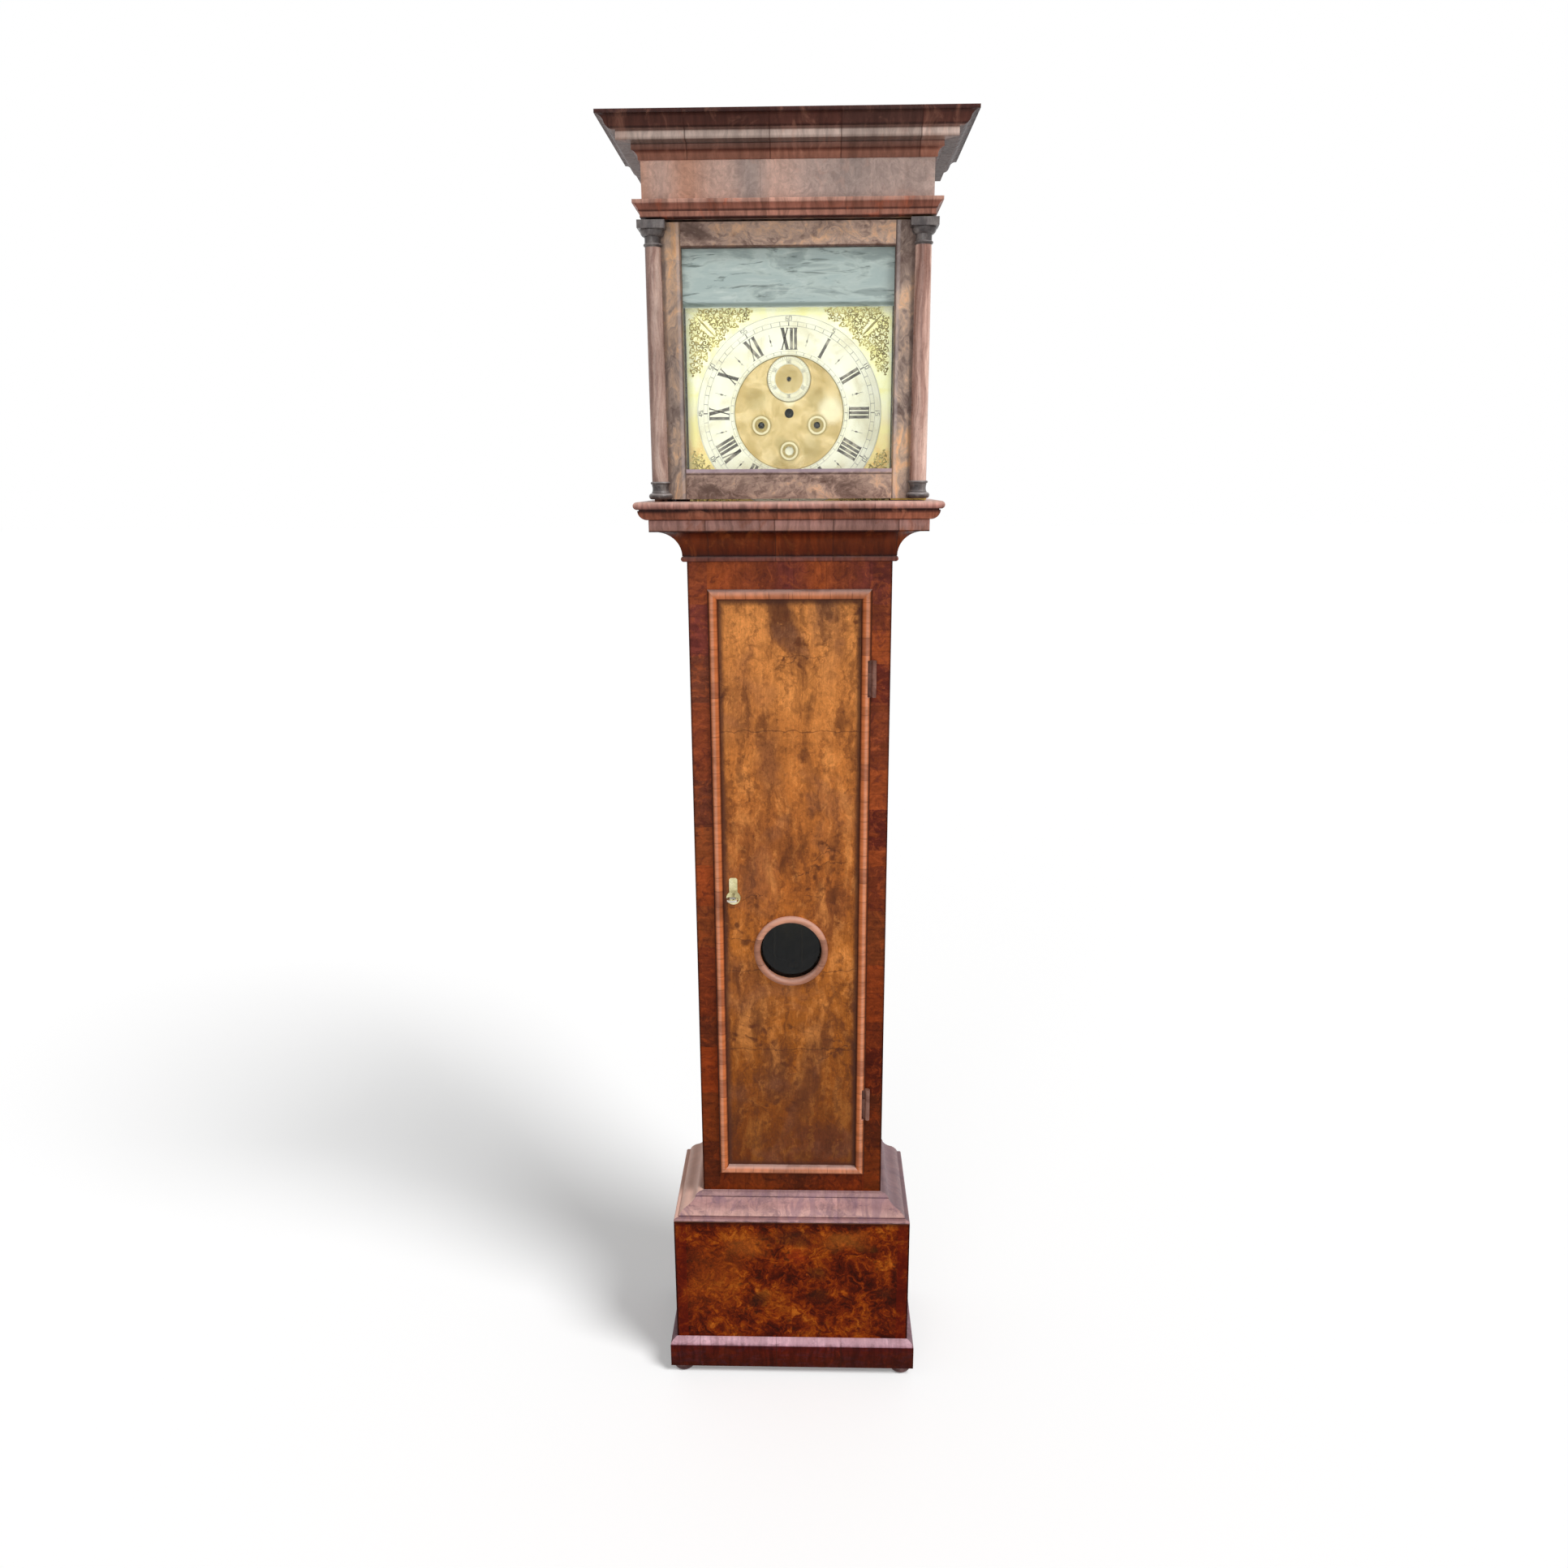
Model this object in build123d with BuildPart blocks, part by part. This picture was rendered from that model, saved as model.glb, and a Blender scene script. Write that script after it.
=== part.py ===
from build123d import *
import os
from math import atan2, cos, hypot, pi, radians, sin, sqrt

# Walnut longcase clock with a square hood, a long trunk door and an eight-day movement.
# Millimetres. +X is the viewer's right, -Y the front, +Z up.
# The origin is the centre of the plan at floor level.

# Case, widths, depths and boards
trunk_width = 325
trunk_depth = 172
base_projection = 50.5
hood_projection = 46
cornice_projection = 100
board = 15
front_board = 20
back_board = 12
trunk_tenon = 50
back_board_gap = 5

# Case, heights of its stages from the floor up
foot_height = 16
skirting_height = 56
base_height = 244
base_moulding_height = 34
trunk_height = 1137
throat_bead_radius = 4.5
cavetto_height = 39
throat_fascia_height = 17.7
hood_seat_gap = 0.3
hood_base_height = 27
hood_opening_height = 395
architrave_height = 22
frieze_height = 52
cornice_height = 51
cornice_cap_height = 12

# Base
base_board = 18
floor_board = 12
floor_rise = 14
foot_radius = 20
foot_inset = 2.5
foot_pad_share = 0.7
foot_neck_share = 0.8
foot_bulge_share = 0.55

# Mouldings; a bow is the rise of an arc as a share of its chord
skirting_thickness = 12
skirting_step = 1
ovolo_bow = 0.18
cyma_bow = 0.103
cavetto_bow = 0.207
base_bead_radius = 3
base_bead_inset = 3
base_waist_inset = 8
base_waist_rise = 2
base_shoulder = 14
base_shoulder_drop = 6
base_lip = 4
base_lip_step = 2
throat_bead_seat = 4
throat_neck = 6.5
fascia_projection = 5.5
fascia_fillet = 6
nose_radius = 5.7
nose_seat = 20
nose_quirk = 2
nose_step = 1.6
hood_ovolo_seat = 8
architrave_seat = 3
architrave_step = 1.5
architrave_fascia = 8
architrave_lip = 11
architrave_lip_height = 5
cove_seat = 3
cove_seat_height = 2
cove_projection = 10
cove_height = 11
soffit_rise = 19
corona_projection = 29.5
corona_height = 12
cornice_quirk = 1
cornice_cyma_bow = 0.162
cornice_cyma_seat = 4.5
cornice_lip = 2
cornice_lip_height = 5

# Trunk door
trunk_stile_width = 42.5
lower_rail_height = 48
upper_rail_height = 55
door_clearance = 2
door_proud = 0.3
door_moulding_width = 17
door_moulding_height = 8.4
door_lip = 11.5
lenticle_rise = 426.5
lenticle_glass_radius = 53
lenticle_ring_width = 11
lenticle_ring_height = 8
lenticle_ring_inner_edge = 1.5
lenticle_ring_outer_edge = 2
lenticle_glass_thickness = 5
lenticle_rebate = 4
trunk_hinge_inset = 132
trunk_hinge_length = 60
knuckle_radius = 4
leaf_thickness = 1.5
leaf_lap = 2
leaf_notch = 6
hinge_pin_radius = 1.6
running_clearance = 0.05
small_gap = 0.3

# Lock and key of the trunk door
key_inset = 22
key_rise = 530
key_shaft_radius = 2.2
key_bow_radius = 10
key_bow_thickness = 3.5
key_bow_reach = 16
key_bit_length = 11
key_bit_clearance = 0.8
keyhole_radius = 2.6
keyhole_slot = 3.4
keyhole_relief = 1
lock_width = 36
lock_height = 56
lock_depth = 12
lock_wall = 1.5
bolt_height = 8
bolt_length = 30
bolt_rise = 2
bolt_inset = 1
escutcheon_thickness = 2
escutcheon_rise = 30
escutcheon_drop = 6
escutcheon_radius = 12
escutcheon_width = 14
escutcheon_corner = 4

# Hood
hood_board = 12
hood_clearance = 1
rail_depth = 24
roof_board = 8

# Hood door with its three-quarter columns
hood_door_thickness = 20
hood_door_gap = 1
door_stile_width = 40
lower_door_rail = 44
upper_door_rail = 33.5
glass_rebate = 4
pane_thickness = 2
column_radius = 12.5
shaft_taper = 0.8
entasis_height = 0.4
astragal_radius = 2
capital_half = 20
capital_height = 34
abacus_height = 11
abacus_overhang = 2.5
echinus_height = 9
echinus_foot = 1.5
capital_neck = 1
column_base_radius = 18
column_base_height = 26
base_torus_radius = 4.5
base_neck = 0.5
scotia_fillet = 1
pivot_radius = 2
pivot_inset = 1.5
pivot_setback = 4
pivot_reach = 8
pivot_relief = 1
strap_length = 40
strap_width = 8
strap_thickness = 2.5

# Dial
dial_size = 311
dial_thickness = 2.5
dial_seat_gap = 1.8
dial_setback = 8
chapter_outer_radius = 141
chapter_inner_radius = 84
ring_thickness = 2.5
seconds_height = 49.8
seconds_outer_radius = 32.5
seconds_inner_radius = 21
seconds_ring_thickness = 1.25
centre_hole_radius = 7
seconds_hole_radius = 3.5
winding_x = 42.8
winding_hole_radius = 5
collet_radius = 13.5
collet_width = 3
collet_height = 0.8
date_drop = 55.4
date_hole_radius = 6.5
date_disc_radius = 26
date_disc_offset = 18
date_disc_thickness = 1
date_teeth = 31
date_tooth_depth = 2.5
date_tooth_width = 3.2
date_tooth_side = 4
date_tooth_root = 0.5
date_stud_radius = 3
spandrel_thickness = 3
spandrel_start = 74
spandrel_margin = 6
spandrel_gap = 3
dial_foot_x = 62
dial_foot_above = 82
dial_foot_below = 74
dial_foot_radius = 4

# Movement
plate_thickness = 3.5
plate_gap = 62
plate_half_width = 90
plate_below = 90
plate_above = 98
dial_to_plate = 38
pillar_inset = 8
pillar_drop = 10
lower_pillar_rise = 12
pillar_radius = 5
arbor_radius = 1.8
pivot_hole_clearance = 0.05
seatboard_thickness = 20
seatboard_depth = 100
seatboard_overlap = 15
train_module = 0.89
great_wheel_teeth = 96
centre_pinion_leaves = 8
centre_wheel_teeth = 60
third_pinion_leaves = 8
third_wheel_teeth = 56
escape_pinion_leaves = 7
centre_module = 1.0
third_module = 0.9
strike_wheel_teeth = 84
strike_module = 0.85
escape_radius = 23
escape_teeth = 30
escape_root_share = 0.8
escape_rim = 3
escape_phase = 3
wheel_thickness = 3
thin_wheel = 2.5
escape_thickness = 2
wheel_rim = 5
hub_radius = 6
arm_width = 4
centre_wheel_setback = 7
third_wheel_step = 4
great_wheel_setback = 6
escape_wheel_setback = 22
pinion_margin = 2
third_pinion_margin = 1
centre_arbor_reach = 12
seconds_arbor_gap = 2
barrel_radius = 25
barrel_length = 33
barrel_arbor_radius = 4
barrel_setback = 14
flange = 1.5
flange_lip = 2
winding_square = 5.5
square_gap = 1

# Anchor, crutch and back cock
pallet_rise = 32.5
nose_depth = 2
pallet_half = 0.5
pallet_slope = 0.7
arm_end = 1.5
arm_depth = 4
anchor_margin = 1
anchor_boss_radius = 7.3
crutch_gap = 5
crutch_thickness = 2.5
crutch_drop = 85
fork_clearance = 0.4
fork_width = 2.5
fork_lap = 5
cock_standoff = 15
cock_thickness = 4
cock_half = 16
cock_leg = 6
cock_rise = 16
cock_arm_rise = 4
cock_arm_thickness = 6
cock_arm_reach = 4
slot_half = 1.2
slot_relief = 2

# Pendulum
pendulum_length = 994
pendulum_gap = 6
spring_thickness = 0.6
spring_half = 6
spring_length = 20
spring_grip = 4
block_half = 3
block_height = 6
rod_radius = 2.5
rod_tail = 14
bob_radius = 50
bob_thickness = 24
bob_edge = 1
bob_fullness = 0.78
nut_radius = 9
nut_height = 7

# Lines, pulleys and weights
line_radius = 1.1
line_hole_radius = 4
knot_lap = 1.5
pulley_radius = 23
pulley_groove_radius = 19
pulley_thickness = 9
pulley_edge = 1.5
pulley_pin_radius = 2.5
pulley_rise = 60
weight_radius = 28
weight_length = 190
weight_clearance = 58
weight_chamfer = 3
weight_shoulder = 6
weight_neck_radius = 4
weight_neck_height = 22
strap_wall = 2
strap_half = 5

# Bell and hammer
bell_x = -24
bell_radius = 33
bell_wall = 2.5
bell_rise = 17
stand_width = 12
stand_lap = 30
stand_gap = 2
stand_reach = 8
stand_boss_radius = 4
hammer_x = -66
hammer_rise = 55
hammer_gap = 1.5
hammer_head_rise = 4
hammer_head_radius = 5
hammer_head_length = 16
hammer_shank_width = 3.5
hammer_shank_depth = 5

# Heights worked out from the stages
skirting_top = foot_height + skirting_height
base_top = skirting_top + base_height
base_moulding_top = base_top + base_moulding_height
bead_bottom = base_moulding_top + trunk_height
bead_top = bead_bottom + 2 * throat_bead_radius
cavetto_top = bead_top + cavetto_height
trunk_top = cavetto_top + throat_fascia_height
hood_floor = trunk_top + hood_seat_gap
sill_top = hood_floor + hood_base_height
lintel_bottom = sill_top + hood_opening_height
frieze_bottom = lintel_bottom + architrave_height
cornice_bottom = frieze_bottom + frieze_height
clock_height = cornice_bottom + cornice_height
carcase_top = clock_height - cornice_cap_height
trunk_foot = base_top - trunk_tenon
floor_height = foot_height + floor_rise

# Plan worked out from the widths and depths
half_trunk = trunk_width / 2
back_y = (trunk_depth + cornice_projection) / 2
face_y = back_y - trunk_depth
inside_y = face_y + front_board
back_inside_y = back_y - back_board
half_base = half_trunk + base_projection
base_front_y = face_y - base_projection
half_hood = half_trunk + hood_projection
hood_front_y = face_y - hood_projection
hood_inside = half_hood - hood_board
column_x = half_hood - column_radius
column_y = hood_front_y + column_radius
door_front_y = column_y
door_back_y = door_front_y + hood_door_thickness
pivot_x = half_hood - pivot_inset
pivot_y = door_back_y - pivot_setback

# Trunk door, lock and hinge places
opening_half_width = half_trunk - trunk_stile_width
door_opening_bottom = base_moulding_top + lower_rail_height
door_opening_top = bead_bottom - upper_rail_height
lenticle_height = door_opening_bottom + lenticle_rise
trunk_hinge_heights = (door_opening_bottom + trunk_hinge_inset, door_opening_top - trunk_hinge_inset)
key_x = -(opening_half_width - key_inset)
key_height = door_opening_bottom + key_rise

# Dial and movement places
dial_centre_height = trunk_top + dial_seat_gap + dial_size / 2
dial_y = face_y + dial_setback
dial_back_y = dial_y + dial_thickness
front_plate_y = dial_y + dial_to_plate
train_y = front_plate_y + plate_thickness
back_plate_y = train_y + plate_gap
back_plate_rear = back_plate_y + plate_thickness
seatboard_front = front_plate_y - seatboard_overlap
cock_y = back_plate_rear + cock_standoff
pendulum_y = cock_y + cock_thickness + pendulum_gap
pallet_height = seconds_height + pallet_rise
swing_z = dial_centre_height + pallet_height
bob_z = swing_z - pendulum_length
seat_top = dial_centre_height - plate_below
seat_bottom = seat_top - seatboard_thickness


def save(name, *solids):
    """Label one piece, or a group of like pieces, and write it to its own file."""
    piece = solids[0] if len(solids) == 1 else Compound(children=list(solids))
    piece.label = name
    export_step(piece, f"parts/{name}.step")


def slab(x_span, y_span, z_span):
    """A plain rectangular board between two limits on each axis."""
    with BuildPart() as piece:
        with BuildSketch(Plane.XY.offset(z_span[0])):
            with Locations(((x_span[0] + x_span[1]) / 2, (y_span[0] + y_span[1]) / 2)):
                Rectangle(x_span[1] - x_span[0], y_span[1] - y_span[0])
        extrude(amount=z_span[1] - z_span[0])
    return piece.part


def with_mirror(piece):
    """A right-hand piece and its left-hand twin."""
    return [piece, mirror(piece, about=Plane.YZ)]


def front_plane(y, x=0, z=0):
    """A plane that faces the viewer: its x is +X, its y is +Z and its normal is -Y."""
    return Plane(origin=(x, y, z), x_dir=(1, 0, 0), z_dir=(0, -1, 0))


def arbor(y_start, y_end, radius, x, height):
    """A round bar along Y, at a height above the dial's centre."""
    with BuildPart() as bar:
        with BuildSketch(front_plane(y_end)):
            with Locations((x, dial_centre_height + height)):
                Circle(radius)
        extrude(amount=y_end - y_start)
    return bar.part


# Mouldings: each profile is drawn as (projection from the trunk's face, height)


def mitred_moulding(profile):
    """A moulding across the front and back along both sides, mitred at the corners."""
    front_mitre = Plane(origin=(half_trunk, face_y, 0), z_dir=(1, 1, 0))
    other_mitre = Plane(origin=(-half_trunk, face_y, 0), z_dir=(-1, 1, 0))
    reach = half_trunk + 2 * cornice_projection
    with BuildPart() as front:
        with BuildSketch(Plane(origin=(0, face_y, 0), x_dir=(0, -1, 0), z_dir=(-1, 0, 0))):
            with BuildLine():
                profile()
            make_face()
        extrude(amount=reach, both=True)
        split(bisect_by=front_mitre, keep=Keep.BOTTOM)
        split(bisect_by=other_mitre, keep=Keep.BOTTOM)
    with BuildPart() as side:
        with BuildSketch(Plane(origin=(half_trunk, back_y, 0), x_dir=(1, 0, 0), z_dir=(0, -1, 0))):
            with BuildLine():
                profile()
            make_face()
        extrude(amount=trunk_depth + 2 * cornice_projection)
        split(bisect_by=front_mitre, keep=Keep.TOP)
    return [front.part] + with_mirror(side.part)


def bead_arc(x, high, low):
    """A half-round bead between two heights, standing out from x."""
    ThreePointArc((x, high), (x + (high - low) / 2, (high + low) / 2), (x, low))


def bowed(start, end, bow):
    """An arc whose rise is a share of its chord, to the left of its run when bow is negative."""
    SagittaArc(start, end, bow * hypot(end[0] - start[0], end[1] - start[1]))


def halfway(start, end):
    return ((start[0] + end[0]) / 2, (start[1] + end[1]) / 2)


def skirting_profile():
    outer = base_projection + skirting_thickness
    ovolo_top = (base_projection + skirting_step, skirting_top)
    ovolo_bottom = (outer, skirting_top - skirting_thickness)
    Polyline(
        ovolo_bottom,
        (outer, foot_height),
        (base_projection, foot_height),
        (base_projection, skirting_top),
        ovolo_top,
    )
    bowed(ovolo_top, ovolo_bottom, ovolo_bow)


def base_moulding_profile():
    bead_seat = base_projection - base_bead_inset
    upper_bead = base_top + 2 * base_bead_radius
    waist = (base_projection - base_waist_inset, upper_bead + base_waist_rise)
    shoulder = (base_shoulder, base_moulding_top - base_shoulder_drop)
    ovolo_end = (base_shoulder, shoulder[1] + base_lip_step)
    middle = halfway(waist, shoulder)
    Polyline((bead_seat, base_top), (0, base_top), (0, base_moulding_top), (base_lip, base_moulding_top))
    bowed((base_lip, base_moulding_top), ovolo_end, ovolo_bow)
    Line(ovolo_end, shoulder)
    bowed(shoulder, middle, -cyma_bow)
    bowed(middle, waist, cyma_bow)
    Polyline(waist, (waist[0], upper_bead), (bead_seat, upper_bead))
    bead_arc(bead_seat, upper_bead, base_top)


def throat_profile():
    neck = (throat_neck, bead_top)
    fascia = hood_projection + fascia_projection
    cavetto_end = (fascia - fascia_fillet, cavetto_top)
    Polyline(
        (throat_bead_seat, bead_bottom),
        (0, bead_bottom),
        (0, trunk_top),
        (fascia, trunk_top),
        (fascia, cavetto_top),
        cavetto_end,
    )
    bowed(neck, cavetto_end, cavetto_bow)
    Line(neck, (throat_bead_seat, bead_top))
    bead_arc(throat_bead_seat, bead_top, bead_bottom)


def hood_base_profile():
    seat = hood_projection + nose_seat
    nose_bottom = sill_top - 2 * nose_radius
    ovolo_bottom = (hood_projection + hood_ovolo_seat, hood_floor)
    ovolo_top = (seat, nose_bottom - nose_step)
    inner = hood_projection - hood_board
    bowed(ovolo_top, ovolo_bottom, ovolo_bow)
    Polyline(ovolo_bottom, (inner, hood_floor), (inner, sill_top), (seat, sill_top))
    bead_arc(seat, sill_top, nose_bottom)
    Polyline(
        (seat, nose_bottom),
        (seat - nose_quirk, nose_bottom),
        (seat - nose_quirk, ovolo_top[1]),
        ovolo_top,
    )


def architrave_profile():
    inner = hood_projection - hood_board
    fascia = hood_projection + architrave_seat
    step = (fascia + architrave_step, lintel_bottom + architrave_fascia)
    lip = (hood_projection + architrave_lip, frieze_bottom - architrave_lip_height)
    Polyline(
        (fascia, step[1]),
        (fascia, lintel_bottom),
        (inner, lintel_bottom),
        (inner, frieze_bottom),
        (lip[0] + architrave_step, frieze_bottom),
        (lip[0] + architrave_step, lip[1]),
        lip,
    )
    bowed(lip, step, -cyma_bow)
    Line(step, (fascia, step[1]))


def cornice_profile():
    inner = hood_projection
    cove_bottom = (inner + cove_seat, cornice_bottom + cove_seat_height)
    cove_top = (inner + cove_projection, cornice_bottom + cove_height)
    soffit = cornice_bottom + soffit_rise
    corona = inner + corona_projection
    corona_top = soffit + corona_height
    cyma_bottom = (corona + cornice_cyma_seat, corona_top)
    cyma_top = (cornice_projection - cornice_lip, clock_height - cornice_lip_height)
    cyma_middle = halfway(cyma_bottom, cyma_top)
    Polyline(
        cyma_top,
        (cornice_projection, cyma_top[1]),
        (cornice_projection, clock_height),
        (inner, clock_height),
        (inner, cornice_bottom),
        (cove_bottom[0], cornice_bottom),
        cove_bottom,
    )
    bowed(cove_bottom, cove_top, ovolo_bow)
    Polyline(
        cove_top,
        (cove_top[0] + cornice_quirk, cove_top[1]),
        (cove_top[0] + cornice_quirk, soffit),
        (corona, soffit),
        (corona, corona_top),
        cyma_bottom,
    )
    bowed(cyma_bottom, cyma_middle, -cornice_cyma_bow)
    bowed(cyma_middle, cyma_top, cornice_cyma_bow)

os.makedirs("parts", exist_ok=True)

# Base of the case

base_side_inner = half_base - board
base_inside_y = base_front_y + base_board
base_side = slab((base_side_inner, half_base), (base_inside_y, back_y), (foot_height, base_top))
base_front = slab((-half_base, half_base), (base_front_y, base_inside_y), (foot_height, base_top))
base_floor = slab(
    (-base_side_inner, base_side_inner),
    (base_inside_y, back_inside_y),
    (floor_height, floor_height + floor_board),
)
save("base_panels", base_front, *with_mirror(base_side), base_floor)
save("skirting", *mitred_moulding(skirting_profile))
save("base_moulding", *mitred_moulding(base_moulding_profile))

skirting_outer = base_projection + skirting_thickness
foot_x = half_trunk + skirting_outer - foot_inset - foot_radius
foot_front_y = face_y - skirting_outer + foot_inset + foot_radius
foot_back_y = back_y - foot_inset - foot_radius
feet = []
for foot_y in (foot_front_y, foot_back_y):
    with BuildPart() as foot:
        with BuildSketch(Plane(origin=(foot_x, foot_y, 0), x_dir=(1, 0, 0), z_dir=(0, -1, 0))):
            with BuildLine():
                pad = (foot_pad_share * foot_radius, 0)
                neck = (foot_neck_share * foot_radius, foot_height)
                Polyline(pad, (0, 0), (0, foot_height), neck)
                ThreePointArc(neck, (foot_radius, foot_bulge_share * foot_height), pad)
            make_face()
        revolve(axis=Axis((foot_x, foot_y, 0), (0, 0, 1)))
    feet += with_mirror(foot.part)
save("feet", *feet)

# Trunk

rail_x = (-opening_half_width, opening_half_width)
stile = slab((opening_half_width, half_trunk), (face_y, inside_y), (trunk_foot, trunk_top))
lower_rail = slab(rail_x, (face_y, inside_y), (trunk_foot, door_opening_bottom))
upper_rail = slab(rail_x, (face_y, inside_y), (door_opening_top, trunk_top))
trunk_side = slab((half_trunk - board, half_trunk), (inside_y, back_inside_y), (trunk_foot, seat_bottom))
save("trunk_sides", *with_mirror(trunk_side))
save("throat_moulding", *mitred_moulding(throat_profile))

board_top = carcase_top - roof_board - back_board_gap
with BuildPart() as backboard:
    with BuildSketch(front_plane(back_y)):
        for half_width, bottom, top in (
            (base_side_inner, foot_height, base_top),
            (half_trunk, base_top, hood_floor),
            (hood_inside - hood_clearance, hood_floor, board_top),
        ):
            with Locations((0, (bottom + top) / 2)):
                Rectangle(2 * half_width, top - bottom)
    extrude(amount=back_board)
save("backboard", backboard.part)

# Trunk door, hinged on the right

door_half = opening_half_width - door_clearance
door_face_y = face_y - door_proud
door_bottom = door_opening_bottom + door_clearance
door_top = door_opening_top - door_clearance
keyhole_plane = front_plane(door_face_y - escutcheon_thickness, key_x, key_height)
with BuildPart() as trunk_door_panel:
    with BuildSketch(front_plane(inside_y)):
        with Locations((0, (door_bottom + door_top) / 2)):
            Rectangle(2 * door_half, door_top - door_bottom)
        with Locations((0, lenticle_height)):
            Circle(lenticle_glass_radius, mode=Mode.SUBTRACT)
    extrude(amount=inside_y - door_face_y)
    with BuildSketch(front_plane(inside_y)):
        with Locations((0, lenticle_height)):
            Circle(lenticle_glass_radius + lenticle_rebate)
    extrude(amount=inside_y - door_face_y - lenticle_glass_thickness, mode=Mode.SUBTRACT)
    with BuildSketch(keyhole_plane):
        Circle(keyhole_radius)
        with Locations((0, -key_bit_length / 2)):
            Rectangle(keyhole_slot, key_bit_length + keyhole_relief)
    extrude(amount=-(inside_y - face_y) - 2 * escutcheon_thickness, mode=Mode.SUBTRACT)
save("trunk_door_panel", trunk_door_panel.part)

lip_half = opening_half_width + door_lip
lip_bottom = door_opening_bottom - door_lip
lip_top = door_opening_top + door_lip
lip_middle = (lip_bottom + lip_top) / 2
lip_half_height = (lip_top - lip_bottom) / 2
edging_centre = (0, door_face_y, lip_middle)
knuckle_x = lip_half + knuckle_radius + small_gap
knuckle_y = face_y - knuckle_radius - small_gap
notch_x = lip_half - leaf_notch
upper_mitre = Plane(origin=(lip_half, door_face_y, lip_top), z_dir=(-1, 0, 1))
lower_mitre = Plane(origin=(lip_half, door_face_y, lip_bottom), z_dir=(-1, 0, -1))
other_upper_mitre = Plane(origin=(-lip_half, door_face_y, lip_top), z_dir=(1, 0, 1))


def edging_profile(outer):
    """The half-round section of the door's edging, with its outer edge at the given x."""
    Line((outer, 0), (outer - door_moulding_width, 0))
    crown = (outer - door_moulding_width / 2, door_moulding_height)
    ThreePointArc((outer - door_moulding_width, 0), crown, (outer, 0))


def side_edging(notched):
    """One upright of the edging; the hinge side is notched for the knuckles' leaves."""
    with BuildPart() as length:
        with BuildSketch(Plane(origin=edging_centre, x_dir=(1, 0, 0), z_dir=(0, 0, -1))):
            with BuildLine():
                edging_profile(lip_half)
            make_face()
        extrude(amount=lip_half_height, both=True)
        split(bisect_by=upper_mitre, keep=Keep.BOTTOM)
        split(bisect_by=lower_mitre, keep=Keep.BOTTOM)
        if notched:
            with BuildSketch(front_plane(door_face_y)):
                for height in trunk_hinge_heights:
                    with Locations(((notch_x + lip_half) / 2, height)):
                        Rectangle(lip_half - notch_x, trunk_hinge_length + 2 * small_gap)
            extrude(amount=door_moulding_height, mode=Mode.SUBTRACT)
    return length.part


with BuildPart() as top_edging:
    with BuildSketch(Plane(origin=edging_centre, x_dir=(0, 0, 1), z_dir=(1, 0, 0))):
        with BuildLine():
            edging_profile(lip_half_height)
        make_face()
    extrude(amount=lip_half, both=True)
    split(bisect_by=upper_mitre, keep=Keep.TOP)
    split(bisect_by=other_upper_mitre, keep=Keep.TOP)
save(
    "trunk_door_moulding",
    side_edging(True),
    mirror(side_edging(False), about=Plane.YZ),
    top_edging.part,
    mirror(top_edging.part, about=Plane.XY.offset(lip_middle)),
)

lenticle_centre = (0, door_face_y, lenticle_height)
with BuildPart() as lenticle_ring:
    with BuildSketch(Plane(origin=lenticle_centre, x_dir=(1, 0, 0), z_dir=(0, 0, -1))):
        with BuildLine():
            ring_outer = lenticle_glass_radius + lenticle_ring_width
            ring_middle = lenticle_glass_radius + lenticle_ring_width / 2
            inner_edge = (lenticle_glass_radius, lenticle_ring_inner_edge)
            outer_edge = (ring_outer, lenticle_ring_outer_edge)
            Polyline(inner_edge, (lenticle_glass_radius, 0), (ring_outer, 0), outer_edge)
            ThreePointArc(inner_edge, (ring_middle, lenticle_ring_height), outer_edge)
        make_face()
    revolve(axis=Axis(lenticle_centre, (0, 1, 0)))
save("lenticle_ring", lenticle_ring.part)

with BuildPart() as lenticle_glass:
    with BuildSketch(Plane(origin=lenticle_centre, x_dir=(1, 0, 0), z_dir=(0, 0, -1))):
        with BuildLine():
            glass_rim = lenticle_glass_radius + lenticle_rebate - small_gap
            dome = lenticle_glass_radius - small_gap
            seat = -lenticle_glass_thickness
            Polyline((dome, seat), (glass_rim, seat), (glass_rim, 2 * seat), (0, 2 * seat), (0, 0))
            ThreePointArc((0, 0), (dome / 2, seat / 4), (dome, seat))
        make_face()
    revolve(axis=Axis(lenticle_centre, (0, 1, 0)))
save("lenticle_glass", lenticle_glass.part)


def hinge_barrel(z_span, x, y, bore=0):
    """A round knuckle between two heights, bored for its pin if a bore is given."""
    with BuildPart() as knuckle:
        with BuildSketch(Plane.XY.offset(z_span[0])):
            with Locations((x, y)):
                Circle(knuckle_radius)
                if bore:
                    Circle(bore, mode=Mode.SUBTRACT)
        extrude(amount=z_span[1] - z_span[0])
    return knuckle.part


# Hinges of the trunk door: three knuckles each, the middle one on the door

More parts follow.
